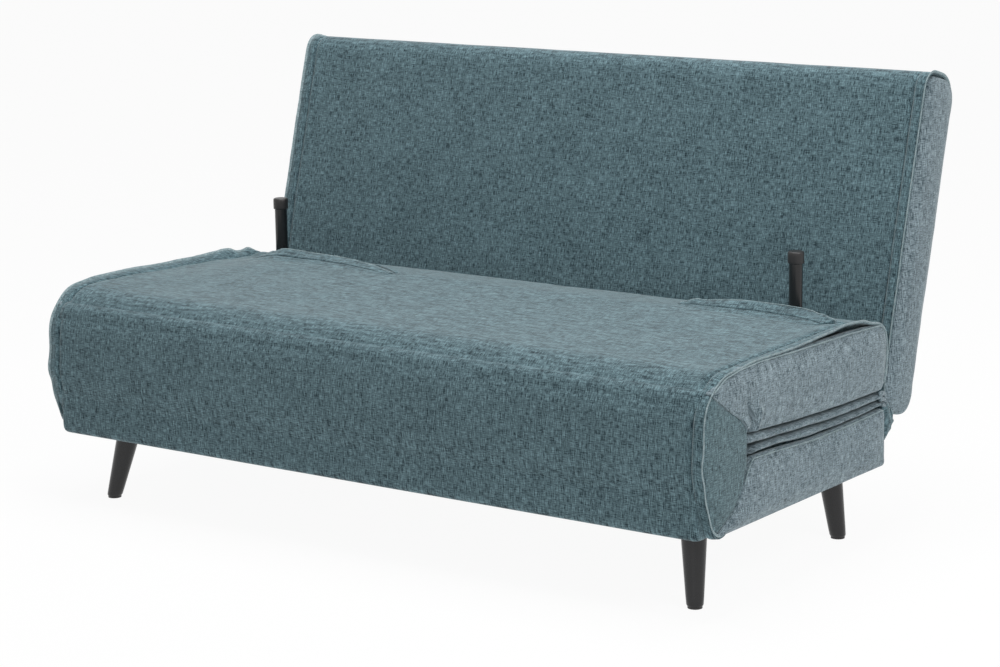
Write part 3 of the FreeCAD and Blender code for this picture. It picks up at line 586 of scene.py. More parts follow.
def cover_drop(spot, out):
    # how far the cloth lies below its outline: the seam is pressed in, the strip beyond it
    # stands up to the sewn edge, and the middle has a slight crown and the unevenness of foam
    across = abs(spot.x)
    on_top = ease(out.y, 0.2, 0.85)
    toward_left = spot.x < 0
    valley = profile(LEFT_VALLEY, spot.y) * on_top if toward_left else 0.0
    edge = profile(LEFT_EDGE if toward_left else RIGHT_EDGE, spot.y) * on_top
    edge += profile(FRONT_EDGE, spot.z) * ease(-out.x, 0.3, 0.8)
    drop = valley * ease(across, SEAM_AT - 150, SEAM_AT)
    drop += SEAM_DEPTH * groove(across, SEAM_AT, SEAM_WIDTH)
    drop -= SEAM_RIDGE * groove(across, SEAM_AT - 13, 8.0)
    if across > SEAM_AT:
        t = (across - SEAM_AT) / SEAM_IN
        drop += (-edge - valley) * ease(t, 0.05, 0.9)
        drop -= STRIP_SWELL * math.sin(math.pi * min(1.0, t * 1.15))
    drop -= CROWN * (1 - (across / HALF) ** 2)
    pucker = ripple(Vector((spot.x, spot.y * 3, spot.z * 3)), 60, 5.0)
    drop += PUCKER * pucker * groove(across, SEAM_AT, 20.0)
    drop -= UNEVEN_LARGE * ripple(spot, 130, 3.0) + UNEVEN_SMALL * ripple(spot, 45, 8.0)
    # over the ends of the fold arms the cloth is a little prouder
    over_arms = ease(across, SEAM_AT - 12, SEAM_AT + 6)
    return drop - ARM_RISE * groove(spot.z, FOLD_Z, 17.0) * (1 - on_top) * over_arms


def cover_at(x, i):
    # the finished place of the cloth at one point of its line
    p = cover_line[i]
    out = face_out(cover_line, i)
    drop = cover_drop(Vector((x, p.x, p.y)), out)
    return Vector((x, p.x - out.x * drop, p.y - out.y * drop)), Vector((0, out.x, out.y))


def shaped_cover(spot, along, share):
    # both layers of the cover follow the drop of the line that they were made from
    count = len(cover_line)
    place = round(along * 2 * count) if along < 0.5 else round((1 - along) * 2 * count - 1)
    place = min(count - 1, place)
    out = face_out(cover_line, place)
    line = cover_line[place]
    drop = cover_drop(Vector((spot.x, line.x, line.y)), out)
    return Vector((spot.x, spot.y - out.x * drop, spot.z - out.y * drop))


seat_cover = sweep("front_and_seat_cover", cover_loop, cover_core, COVER_ENDS, 12.0, COVER,
                   shaped_cover)
subdivided(seat_cover)
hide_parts("seat_front_border", "base_front_border", "seat_rear_border", "seat_foam")
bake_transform(seat_cover)


# Welted edges of the front and seat cover
# Along both side edges the cover is sewn to the side panels with the seam allowance outside,
# which stands up as a thin flat lip. A row of stitches runs along the seam beside it.
def strand(name, centres, ways, long, thin, material, sides=10):
    # a flat or round strip that follows its centres; ways are the directions of its long side
    points = []
    count = len(centres)
    for i, (c, w) in enumerate(zip(centres, ways)):
        run = centres[min(i + 1, count - 1)] - centres[max(i - 1, 0)]
        side = run.cross(w).normalized()
        for k in range(sides):
            a = 2 * math.pi * k / sides
            points.append((c + w * (math.cos(a) * long) + side * (math.sin(a) * thin)) * MM)
    faces = rings_joined(count, sides) + ring_ends(count, sides)
    return closed_up(add_mesh(name, points, faces, material))


LIP_LONG, LIP_THIN, LIP_LEAN = 3.6, 1.3, 0.45
PIPING = 1.3
BEAD = ((-1.6, 0.15), (-1.0, 0.42), (1.0, 0.42), (1.6, 0.15))   # place along a stitch, radius
THREAD = painted("sewing_thread", srgb(38, 56, 62), 0.6)[0]


def lip_along(name, toward):
    # the standing lip at one side edge, on the right where toward is 1
    centres, ways = [], []
    for i, p in enumerate(cover_line):
        place, out = cover_at(toward * (HALF - 2.0), i)
        lift = 0.1 + 0.5 * noise.noise(Vector((p.x / 37, p.y / 37, 1.3 * toward)))
        # it sinks into the cloth where the cover turns under the base
        lift -= 7.0 * ease(i, len(cover_line) - 9, len(cover_line) - 5)
        centres.append(place + out * lift)
        ways.append(Vector((LIP_LEAN * toward, out.y * 0.8, out.z * 0.8)).normalized())
    return strand(name, centres, ways, LIP_LONG, LIP_THIN, LIP_COVER_PAINTED_HIGHLIGHT)


def stitches(name, spots, ways, pitch):
    # short five-sided beads of thread along a seam, each sunk a little into the cloth
    points, faces = [], []
    carry = 0.0
    for a, b, out in zip(spots, spots[1:], ways):
        run = b - a
        length = run.length
        run.normalize()
        side = run.cross(out).normalized()
        while carry < length:
            centre = a + run * carry
            base = len(points)
            for end, size in BEAD:
                for k in range(5):
                    turn = 2 * math.pi * k / 5
                    points.append((centre + run * end + side * (math.cos(turn) * size)
                                   + out * (math.sin(turn) * size)) * MM)
            faces += rings_joined(4, 5, base) + ring_ends(4, 5, base)
            carry += pitch
        carry -= length
    return add_mesh(name, points, faces, THREAD)


def piping(name, corners, middle, x, run, around):
    # a thin corded edge along a part of a side pad's rim; run picks the part from the outline
    line = outline(corners, 5.0)
    core = midline(line, Vector(middle[0]), Vector(middle[1]))
    places = [core[i].lerp(line[i], 0.958) for i in run(line)]
    centres = [around(Vector((x, p.x, p.y))) for p in places]
    return strand(name, centres, [Vector((1, 0, 0))] * len(centres), PIPING, PIPING, LIP_COVER_PAINTED_HIGHLIGHT, 8)


def over_the_top(line):
    # from the rear lower corner up and forward to the front corner
    return range(nearest(line, REAR_Y, 292.0), min(range(len(line)), key=lambda i: line[i].x))


def along_the_top(line):
    # from the gusset round the front corner to the rear corner
    return [i % len(line) for i in range(-7, nearest(line, REAR_Y - 6, 246.0))]


for side, toward in (("left", -1), ("right", 1)):
    lip = lip_along(f"cover_lip_{side}", toward)
    subdivided(lip)
    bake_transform(lip)
    seam_spots, seam_ways = [], []
    for i in range(len(cover_line)):
        place, out = cover_at(toward * SEAM_AT, i)
        seam_spots.append(place + out * 0.1)
        seam_ways.append(out)
    thread = stitches(f"cover_stitches_{side}", seam_spots, seam_ways, STITCH_PITCH)
    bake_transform(thread)


# Side pads of the seat section and the base
# Each is a panel of cover cloth over foam, sewn along its edges, so that it swells between them.
# The upper one is drawn in at its lower front corner, where it meets the folded side gusset.
PAD_STEP = 7.0
FACE_SHARE = 0.925      # where the face of a pad starts, as a share of its outline
FACE_ROWS = (0.88, 0.82, 0.75, 0.66, 0.56, 0.45, 0.34, 0.22, 0.1, 0.0)


def pillow(name, corners, middle, x_back, x_face, step, material, puff, shape=None):
    # a pad seen from the side: its outline shrinks to a line down its middle, front and back
    loop = outline(corners, step)
    start, run = Vector(middle[0]), Vector(middle[1]) - Vector(middle[0])
    core = midline(loop, start, start + run)
    # the innermost rows meet on even steps along that line, so that both halves close
    steps = max(1, round(run.length / (step * 1.2)))
    shares = [(c - start).dot(run) / run.length_squared for c in core]
    middle_row = [start + run * (round(share * steps) / steps) for share in shares]
    deep = x_face - x_back
    rim = [(x_back, share) for share in (0.0, 0.35, 0.7, 0.93)] + [(x_back + 1, 0.985)]
    rim += [(x_back + deep * 0.4, 1.0), (x_back + deep * 0.62, 0.998),
            (x_back + deep * 0.8, 0.985), (x_face - deep * 0.08, 0.96), (x_face, FACE_SHARE)]
    rim += [(x_face + puff * (1 - (share / FACE_SHARE) ** 2), share) for share in FACE_ROWS]
    points = []
    for x, share in rim:
        for p, c, m in zip(loop, core, middle_row):
            at = c.lerp(p, share) if share > 0 else m
            spot = Vector((x, at.x, at.y))
            if shape is not None and x >= x_back + deep * 0.4:
                spot = shape(spot)
            points.append(spot * MM)
    return closed_up(add_mesh(name, points, rings_joined(len(rim), len(loop)), material), 0.0001, 8)


def mirrored(piece, name):
    # the same piece for the left side
    mesh = piece.data.copy()
    mesh.transform(Matrix.Scale(-1, 4, (1, 0, 0)))
    mesh.flip_normals()
    twin = bpy.data.objects.new(name, mesh)
    bpy.context.scene.collection.objects.link(twin)
    return twin


def reshaped(piece, change):
    # every point moved by a rule that knows its place in millimetres
    for v in piece.data.vertices:
        v.co = change(v.co / MM) * MM
    piece.data.update()


def near_path(y, z, path):
    # distance from a line of points, and how far along it, from 0 to 1
    best, place = 1e9, 0.0
    spans = len(path) - 1
    for k in range(spans):
        p, a, b = Vector((y, z)), Vector(path[k]), Vector(path[k + 1])
        t = max(0.0, min(1.0, (p - a).dot(b - a) / (b - a).length_squared))
        away = (p - a.lerp(b, t)).length
        if away < best:
            best, place = away, (k + t) / spans
    return best, place


# the folds as lines in y and z, then how deep or high each one is and half its width
PINCH = [(-335.0, 374.0), (-315.0, 345.0), (-301.0, 327.0), (-297.5, 314.0), (-304.0, 304.0)]
PINCH_RIDGE = [(-306.0, 368.0), (-286.0, 336.0), (-284.0, 304.0)]
GUSSET_FOLD = [(-376.0, 362.0), (-336.0, 338.0), (-316.0, 318.0)]
PINCH_DEPTH, PINCH_HALF = 13.0, 3.8
RIDGE_HEIGHT, RIDGE_HALF = 6.0, 8.0
FOLD_HEIGHT, FOLD_HALF = 2.4, 6.0


def upper_folds(spot):
    # the pinched fold beside the gusset with a soft ridge behind it, and faint pulls
    moved = spot.copy()
    if spot.x < HALF - 3:
        return moved
    away, t = near_path(spot.y, spot.z, PINCH)
    moved.x -= PINCH_DEPTH * ease(t, 0.0, 0.5) * groove(away, 0.0, PINCH_HALF)
    away, t = near_path(spot.y, spot.z, PINCH_RIDGE)
    moved.x += RIDGE_HEIGHT * ease(t, 0.0, 0.6) * groove(away, 0.0, RIDGE_HALF)
    away, t = near_path(spot.y, spot.z, GUSSET_FOLD)
    moved.x += FOLD_HEIGHT * groove(away, 0.0, FOLD_HALF)
    moved.x += 0.9 * ripple(spot, 75, 2.0) + 0.4 * ripple(spot, 28, 6.0)
    return moved


def lower_folds(spot):
    # faint pulls only
    moved = spot.copy()
    if spot.x > HALF - 3:
        moved.x += 1.0 * ripple(spot, 85, 12.0) + 0.4 * ripple(spot, 30, 16.0)
    return moved


PAD_BACK = HALF - 16.0
UPPER_PAD = [
    (-306.0, 301.5, 12), (-144.0, 290.5, 200), (22.0, 283.5, 200), (176.0, 281.0, 14),
    (REAR_Y + 1.5, 335.0, 150), (REAR_Y - 0.5, 405.0, 46), (48.0, 411.5, 300),
    (-145.0, 416.5, 300), (-276.0, 421.0, 100), (-337.0, 418.5, 80), (-389.0, 412.5, 60),
    (-431.0, 391.0, 3), (-376.0, 355.0, 60), (-331.0, 330.0, 40), (-314.0, 312.0, 10),
]
LOWER_PAD = [
    (-296.0, 259.0, 14), (-223.0, 255.5, 200), (-88.0, 246.0, 200), (30.0, 244.5, 200),
    (REAR_Y - 2, 246.0, 14), (REAR_Y - 1, 137.0, 8), (-412.0, 143.0, 3), (-380.0, 162.0, 60),
    (-350.0, 178.0, 60), (-326.0, 206.0, 50), (-313.0, 236.0, 30),
]
for name, corners, middle, folds, body, puff, nodes in (
    ("seat_side_pad", UPPER_PAD, ((-350.0, 366.0), (120.0, 346.0)), upper_folds, "seat_section",
     6.5, "seat_side_borders"),
    ("base_side_pad", LOWER_PAD, ((-350.0, 168.0), (130.0, 194.0)), lower_folds, "base", 4.0,
     "base_side_borders"),
):
    right_pad = pillow(f"{name}_right", corners, middle, PAD_BACK, HALF + 0.4, PAD_STEP,
                       SIDE_COVER_PAINTED_LIGHT, puff)
    relax(right_pad, 2.5, HALF - 1.5)
    subdivided(right_pad, 2)
    reshaped(right_pad, folds)
    left_pad = mirrored(right_pad, f"{name}_left")
    run = over_the_top if body == "seat_section" else along_the_top
    right_edge = piping(f"{name}_edge_right", corners, middle, HALF + 0.2, run, folds)
    left_edge = mirrored(right_edge, f"{name}_edge_left")
    for pad in (left_pad, right_pad):
        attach(pad, body)
        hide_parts(nodes)
    for edge in (left_edge, right_edge):
        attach(edge, body)


# Inner bodies
# The foam and frame of each section are closed off by lining cloth under the cover. It shows
# only at the back of the base, under it, and in the depth of the creases.
def box_outline(y0, y1, z0, z1, radius):
    return [(y0, z0, radius), (y1, z0, radius), (y1, z1, radius), (y0, z1, radius)]


def drawn_in(half, *rows):
    # rows at the end of a piece: how far each one lies inside it, and its share of the outline
    return [(half - inside, share) for inside, share in rows]


def even(spot, along, share):
    # the slight unevenness of lining cloth
    swell = 0.8 * ripple(spot, 110, 4.0)
    return spot + Vector((0, swell if spot.y > REAR_Y - 20 else 0.0, swell * 0.4))


BODY_HALF = HALF - 18.0
base_loop = outline(box_outline(FRONT_Y + 9, REAR_Y, FLOOR_GAP + 1, 251.0, 9), 12.0)
base_core = midline(base_loop, Vector((FRONT_Y + 70, 195.0)), Vector((REAR_Y - 56, 195.0)))
BODY_ENDS = drawn_in(BODY_HALF, (24, 1.0), (10, 1.0), (3, 0.985), (0, 0.94), (0, 0.6), (0, 0.3),
                     (0, 0.0))
base_body = sweep("base_back_and_lining", base_loop, base_core, BODY_ENDS, 24.0, COVER, even)
subdivided(base_body)
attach(base_body, "base")
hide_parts("base_rear_border")
seat_loop = outline(box_outline(FRONT_Y + 14, REAR_Y - 10, 288.0, SEAT_TOP - 25, 30), 12.0)
seat_core = midline(seat_loop, Vector((FRONT_Y + 80, 350.0)), Vector((REAR_Y - 76, 350.0)))
seat_body = sweep("seat_lining", seat_loop, seat_core, BODY_ENDS, 24.0, COVER)
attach(seat_body, "seat_section")


# Sleeping pads
# Two flat pads face each other between the sections and make the bed when it is opened out.
# Their rolled edges are the two soft bands along the side.
BAND_FRONT = -309.0
# how far a band stays above its lower crease and below its upper one, and how far its front
# end is tucked in
BAND_ABOVE, BAND_BELOW, BAND_TUCK = 2.0, 2.6, 9.0
PAD_FRONT = FOLD_Y + 2.0
BAND_ENDS = drawn_in(HALF, (44, 1.0), (34, 1.0), (26, 1.0), (20, 1.0), (15, 0.97), (10, 0.88),
                     (6.5, 0.74), (4, 0.56), (2.6, 0.34), (2.2, 0.0))
# heights of the three creases along the side, from the front to the rear
CREASE_HIGH = [(-308, 299), (-144, 287), (22, 280), (186, 277)]
CREASE_MIDDLE = [(-308, 278), (-220, 273.5), (-144, 269), (22, 261), (186, 261)]
CREASE_LOW = [(-308, 262), (-223, 258.5), (-88, 248), (30, 246), (186, 248)]


def banded(z0, z1, low, high, seed, gap_in_front):
    # near the sides the pad follows the two creases that it lies between
    def shape(spot, along, share):
        moved = spot.copy()
        edge = ease(abs(spot.x), HALF - 40, HALF - 16)
        level = (spot.z - z0) / (z1 - z0)
        bottom, top = profile(low, spot.y) + BAND_ABOVE, profile(high, spot.y) - BAND_BELOW
        top -= gap_in_front * (1 - ease(spot.y, -306, -252))
        moved.z += edge * (bottom + (top - bottom) * level - spot.z)
        tuck = 1 - ease(spot.y, BAND_FRONT - 4, BAND_FRONT + 10)
        moved.x -= math.copysign(BAND_TUCK * tuck * edge, spot.x)
        moved.z += edge * (0.9 * ripple(spot, 60, seed) + 0.4 * ripple(spot, 22, seed + 5))
        moved.x += math.copysign(1.3 * ripple(spot, 75, seed + 9) * edge, spot.x)
        return moved
    return shape


for name, z0, z1, low, high, body, node, seed, gap in (
    ("seat_sleeping_pad", FOLD_Z + 0.6, FOLD_Z + 21.5, CREASE_MIDDLE, CREASE_HIGH, "seat_section",
     "sleeping_foam", 21.0, 0.0),
    ("base_sleeping_pad", FOLD_Z - 19.0, FOLD_Z - 0.6, CREASE_LOW, CREASE_MIDDLE, "base",
     "base_mattress", 33.0, 10.5),
):
    loop = outline(box_outline(PAD_FRONT, REAR_Y - 3, z0, z1, (z1 - z0) * 0.45), 8.0)
    half_high = (z1 - z0) / 2
    core = midline(loop, Vector((PAD_FRONT + half_high, z0 + half_high)),
                   Vector((REAR_Y - 3 - half_high, z0 + half_high)))
    pad = sweep(name, loop, core, BAND_ENDS, 16.0, SIDE_COVER_PAINTED_LIGHT,
                banded(z0, z1, low, high, seed, gap))
    subdivided(pad)
    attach(pad, body)
    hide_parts(node)


# Side gussets
# A lens-shaped panel of the cover cloth closes each side over the fold arms. The outer layer
# spans both sections. Each section has its own half behind it.
inner_edge = [(p.x, p.y, 0) for p in offset(cover_line, 4.6) if p.x < -418]
GUSSET = list(reversed(inner_edge)) + [
    (-376.0, 354.0, 60), (-333.0, 329.0, 40), (-315.0, 308.0, 16), (-311.0, 287.0, 60),
    (-309.0, 260.0, 60), (-314.0, 235.0, 50), (-327.0, 206.0, 50), (-350.0, 179.0, 60),
    (-380.0, 164.0, 60)]


def gusset_shape(spot):
    # loose cloth, slightly uneven
    return spot + Vector((0.7 * ripple(spot, 48, 40.0), 0, 0))


gusset_right = pillow("side_gusset_right", GUSSET, ((-392.0, 340.0), (-385.0, 200.0)),
                      HALF - 5.0, HALF - 2.4, 6.0, GUSSET_COVER_PAINTED_SHADE, 2.2, gusset_shape)
subdivided(gusset_right)
gusset_left = mirrored(gusset_right, "side_gusset_left")
for gusset in (gusset_left, gusset_right):
    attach(gusset, "base")
    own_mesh(gusset)


def half_gusset(name, corners, middle, body, node):
    right_half = pillow(f"{name}_right", corners, middle, HALF - 6.5, HALF - 3.6, PAD_STEP,
                        GUSSET_COVER_PAINTED_SHADE, 0.6)
    left_half = mirrored(right_half, f"{name}_left")
    for piece in (left_half, right_half):
        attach(piece, body)
        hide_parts(node)


half_gusset("seat_half_gusset", [(-442.0, 273.0, 3), (-306.0, 273.0, 6), (-308.0, 316.0, 22),
                                 (-352.0, 346.0, 60), (-419.0, 386.0, 4), (-442.0, 350.0, 50)],
            ((-420.0, 316.0), (-340.0, 300.0)), "seat_section", "seat_gussets")
half_gusset("base_half_gusset", [(-442.0, 265.0, 3), (-306.0, 265.0, 6), (-311.0, 214.0, 50),
                                 (-352.0, 176.0, 50), (-408.0, 148.0, 4), (-440.0, 180.0, 50)],
            ((-420.0, 226.0), (-345.0, 236.0)), "base", "base_gussets")


# Backrest
# A tall padded frame with one long cover over its front, top and back, sewn with the same
# standing lip to a narrow pad on each side. It leans back on the two ratchet fittings.
BACK_HALF = HALF - 10.0
BACK_LONG, BACK_DEEP = 637.0, 115.0
PIVOT_U, PIVOT_V = 20.0, 21.5
BACK_TILT = math.radians(15.3)


def lean(u, v):
    # from depth and length of the backrest to y and z
    du, dv = u - PIVOT_U, v - PIVOT_V
    return Vector((pivot.y + du * math.cos(BACK_TILT) + dv * math.sin(BACK_TILT),
                   pivot.z - du * math.sin(BACK_TILT) + dv * math.cos(BACK_TILT)))


def unlean(y, z):
    dy, dz = y - pivot.y, z - pivot.z
    return (PIVOT_U + dy * math.cos(BACK_TILT) - dz * math.sin(BACK_TILT),
            PIVOT_V + dy * math.sin(BACK_TILT) + dz * math.cos(BACK_TILT))


BACK_OUTLINE = [(0.0, 0.0, 45), (BACK_DEEP, 0.0, 50), (BACK_DEEP + 1, BACK_LONG / 2, 900),
                (BACK_DEEP, BACK_LONG, 50), (0.0, BACK_LONG, 40), (-3.0, BACK_LONG / 2, 900)]
back_flat = outline(BACK_OUTLINE, 9.0)
back_loop = [lean(p.x, p.y) for p in back_flat]
mid = BACK_DEEP / 2
back_middle = midline(back_flat, Vector((mid, mid)), Vector((mid, BACK_LONG - mid)))
back_core = [lean(p.x, p.y) for p in back_middle]
BACK_SEAM = BACK_HALF - SEAM_IN
BACK_ENDS = past_seam(BACK_SEAM, [
    (BACK_SEAM + 1.2, 1.0), (BACK_SEAM + 3, 1.0), (BACK_SEAM + 6, 1.0), (BACK_HALF - 12, 1.0),
    (BACK_HALF - 6, 0.995), (BACK_HALF - 2.5, 0.985), (BACK_HALF - 1, 0.965), (BACK_HALF - 2, 0.95),
    (BACK_HALF - 13, 0.93), (BACK_HALF - 14, 0.6), (BACK_HALF - 14, 0.3), (BACK_HALF - 14, 0.0)])
# relief of the front: ridges beyond and before the seam, set-back at the edge, crown, unevenness
OUTER_RIDGE, INNER_RIDGE, EDGE_BACK, BACK_CROWN = 1.6, 1.2, 1.5, 2.5
BACK_LARGE, BACK_SMALL, BACK_SWELL = 1.6, 0.6, 0.7
PAD_WRAP = 3.0
SLIT_TOP = 74.0


def shaped_back(spot, along, share):
    if share < 0.9:
        return spot
    u, v = unlean(spot.y, spot.z)
    across = abs(spot.x)
    drop = 0.0
    # behind and below, the side pad wraps over the edge of this cover
    under_pad = PAD_WRAP * ease(across, BACK_HALF - 17, BACK_HALF - 9)
    rearward, downward = ease(u, 60, 90), 1 - ease(v, 20, 60)
    u -= under_pad * rearward
    v += under_pad * downward
    if u < 40:
        front = 1 - ease(u, 12, 40)
        pucker = ripple(Vector((spot.x, spot.y * 3, spot.z * 3)), 60, 55.0)
        drop += front * SEAM_DEPTH * groove(across, BACK_SEAM, SEAM_WIDTH)
        drop -= front * OUTER_RIDGE * groove(across, BACK_SEAM + 9, 6.0)
        drop -= front * INNER_RIDGE * groove(across, BACK_SEAM - 10, 7.0)
        drop += front * PUCKER * pucker * groove(across, BACK_SEAM, 22.0)
        drop += front * EDGE_BACK * ease(across, BACK_SEAM + 10, BACK_HALF)
        drop -= front * BACK_CROWN * (1 - (across / BACK_HALF) ** 2)
        drop -= front * (BACK_LARGE * ripple(spot, 150, 51.0) + BACK_SMALL * ripple(spot, 55, 58.0))
    u += drop
    swell = BACK_SWELL * ripple(spot, 90, 61.0)
    if v > BACK_LONG - 30:
        v += swell
    if u > 80:
        u += swell
    # a slit from below lets the ratchet plates into the frame as the backrest goes down
    if BACK_SEAM - 6 < across < BACK_SEAM - 1:
        v = max(v, SLIT_TOP)
    at = lean(u, v)
    return Vector((spot.x, at.x, at.y))


back_cover = sweep("backrest_cover", back_loop, back_core, BACK_ENDS, 12.0, COVER, shaped_back)
subdivided(back_cover)
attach(back_cover, "backrest")
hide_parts("back_front_foam", "back_rear_pad", "back_end_borders")


# Side pads, lips and stitches of the backrest
# The narrow pads swell between their seams. The lip follows the edge of the cover from the foot
# of its front over the top, and a row of stitches runs along the seam beside it.
BACK_PAD = [(8.5, 6.0, 40), (BACK_DEEP + 4, -1.0, 50), (BACK_DEEP + 5, BACK_LONG / 2, 900),
            (BACK_DEEP + 4, BACK_LONG - 5, 46), (8.5, BACK_LONG - 8, 36),
            (6.0, BACK_LONG / 2, 900)]


def tilted(corners):
    # corners of an outline from the backrest's own measures to y and z
    return [(*lean(u, v), radius) for u, v, radius in corners]


def back_side_folds(spot):
    # faint pulls only
    moved = spot.copy()
    if spot.x > BACK_HALF - 4:
        moved.x += 0.9 * ripple(spot, 75, 71.0) + 0.4 * ripple(spot, 28, 77.0)
    return moved


back_pad_right = pillow("backrest_side_pad_right", tilted(BACK_PAD),
                        (lean(mid, mid), lean(mid, BACK_LONG - mid)),
                        BACK_HALF - 18.0, BACK_HALF + 0.3, PAD_STEP, SIDE_COVER_PAINTED_LIGHT, 5.5)
relax(back_pad_right, 2.0, BACK_HALF - 2.0)
subdivided(back_pad_right)
reshaped(back_pad_right, back_side_folds)
back_pad_left = mirrored(back_pad_right, "backrest_side_pad_left")
for pad in (back_pad_left, back_pad_right):
    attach(pad, "backrest")
    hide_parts("back_side_borders")
# the lip starts at the foot of the front edge, goes up and over the top, and ends behind it
at_foot = nearest(back_flat, 0, 30)
behind_top = nearest(back_flat, BACK_DEEP - 6, BACK_LONG - 18)
count = len(back_flat)
if at_foot < behind_top:
    at_foot += count
lip_run = [i % count for i in range(behind_top, at_foot + 1)]
for side, toward in (("left", -1), ("right", 1)):
    centres, ways = [], []
    for k, i in enumerate(lip_run):
        p = back_loop[i]
        run = (back_loop[(i + 1) % count] - back_loop[i - 1]).normalized()
        out = Vector((run.y, -run.x))
        spot = shaped_back(Vector((toward * (BACK_HALF - 2.5), p.x, p.y)), i / count, 1.0)
        fade = min(1.0, k / 6, (len(lip_run) - 1 - k) / 6)
        lift = -4.0 + 4.9 * fade + 0.5 * noise.noise(Vector((p.x / 41, p.y / 41, 2.7 * toward)))
        centres.append(Vector((spot.x, spot.y + out.x * lift, spot.z + out.y * lift)))
        ways.append(Vector((LIP_LEAN * toward, out.x * 0.8, out.y * 0.8)).normalized())
    lip = strand(f"backrest_lip_{side}", centres, ways, LIP_LONG, LIP_THIN, LIP_COVER_PAINTED_HIGHLIGHT)
    subdivided(lip)
    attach(lip, "backrest")
    # the seam stays clear of the two rounded ends
    spots, ways = [], []
    out = lean(-1.0, 0.0) - lean(0.0, 0.0)
    out = Vector((0, out.x, out.y)).normalized()
    for k in range(60):
        v = 40.0 + (BACK_LONG - 85.0) * k / 59
        at = lean(-3.0 * math.sin(math.pi * v / BACK_LONG), v)
        spots.append(shaped_back(Vector((toward * BACK_SEAM, at.x, at.y)), 0.0, 1.0))
        ways.append(out)
    thread = stitches(f"backrest_stitches_{side}", spots, ways, STITCH_PITCH)
    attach(thread, "backrest")


# Cloth between base and backrest
# A loose roll of cover cloth closes the gap behind the base, so that nothing falls through it.
# It is gathered at the ends.
ROLL = [(REAR_Y - 5, 168.0, 4), (REAR_Y + 9, 180.0, 24), (REAR_Y + 32, 202.0, 26),
        (REAR_Y + 42, 226.0, 22), (REAR_Y + 24, 250.0, 20), (REAR_Y - 5, 266.0, 5)]
roll_loop = outline(ROLL, 5.0)
roll_core = midline(roll_loop, Vector((REAR_Y + 4, 212.0)), Vector((REAR_Y + 20, 216.0)))
ROLL_HALF = HALF - 2.0
ROLL_ENDS = drawn_in(ROLL_HALF, (60, 1.0), (52, 1.0), (44, 1.0), (36, 1.0), (28, 1.0), (21, 1.0),
                     (15, 0.99), (10, 0.96), (6, 0.89), (3, 0.76), (1, 0.5), (0, 0.0))


def gathered(spot, along, share):
    # folds that are deepest at the ends
    moved = spot.copy()
    depth = max(0.0, spot.y - REAR_Y)
    end = ease(abs(spot.x), HALF - 80, HALF - 10)
    fold = math.sin(spot.z * 0.36 + abs(spot.x) * 0.06 + 2.0 * ripple(spot, 40, 93.0))
    moved.y += depth * (0.12 * fold * end + 0.07 * ripple(spot, 50, 91.0))
    moved.x += math.copysign(3.2 * fold * end * min(1.0, depth / 12), spot.x)
    return moved


roll = sweep("cloth_behind_base", roll_loop, roll_core, ROLL_ENDS, 14.0, COVER, gathered)
subdivided(roll)
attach(roll, "base")
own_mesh(roll)


# Gathered cloth beside the fittings
# Where the side pads, the bands and the cloth behind the base meet, the spare cloth is bunched in
# a few soft folds. They are tacked to the base, one over the other.
KNUCKLE_THIN = 3.4
KNUCKLES = [
    # centre line in y and z, then half the width of the fold
    ([(REAR_Y - 24, 277), (REAR_Y - 8, 275), (REAR_Y + 5, 268), (REAR_Y + 13, 258)], 4.6),
    ([(REAR_Y - 20, 265), (REAR_Y - 4, 262), (REAR_Y + 9, 253), (REAR_Y + 20, 241)], 4.4),
    ([(REAR_Y - 14, 254), (REAR_Y + 1, 249), (REAR_Y + 13, 240), (REAR_Y + 26, 230)], 4.2),
]
for side, toward in (("left", -1), ("right", 1)):
    for number, (path, width) in enumerate(KNUCKLES, 1):
        line = outline([(a, b, 14) for a, b in path], 3.0, closed=False)
        centres, ways = [], []
        for k, p in enumerate(line):
            t = k / (len(line) - 1)
            out = face_out(line, k)
            bend = 1.6 * math.sin(5.0 * t + number)
            across = toward * (HALF - 4.6 - 4.0 * t * t + 0.8 * bend)
            centres.append(Vector((across, p.x + out.x * bend, p.y + out.y * bend)))
            ways.append(Vector((0.35 * toward, out.x, out.y)).normalized())
        fold_piece = strand(f"gathered_fold_{side}_{number}", centres, ways, width, KNUCKLE_THIN,
                            SIDE_COVER_PAINTED_LIGHT, sides=12)
        subdivided(fold_piece)
        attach(fold_piece, "base")
        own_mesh(fold_piece)


# Hemmed slits for the support legs
# The seat cover has a hemmed slit on each side, near the back, which the support leg comes up
# through. Its two hems lie on the seat as low ridges and meet at both ends.
HEM_STEPS = 64
HEM_STITCH = 4.2
HEM_SUNK = 4.0          # how far the foot of a hem reaches into the seat


def along_line(line, t):
    # the place at a share of a line's length
    lengths = [0.0]
    for p, q in zip(line, line[1:]):
        lengths.append(lengths[-1] + (Vector(q) - Vector(p)).length)
    s = t * lengths[-1]
    for k in range(len(line) - 1):
        if s <= lengths[k + 1] or k == len(line) - 2:
            share = (s - lengths[k]) / (lengths[k + 1] - lengths[k])
            return Vector(line[k]).lerp(Vector(line[k + 1]), share)


def seat_height(x, y):
    # the finished top of the seat cover
    on_top = [i for i, p in enumerate(cover_line) if p.y >= 400]
    return cover_at(x, min(on_top, key=lambda i: abs(cover_line[i].x - y)))[0].z


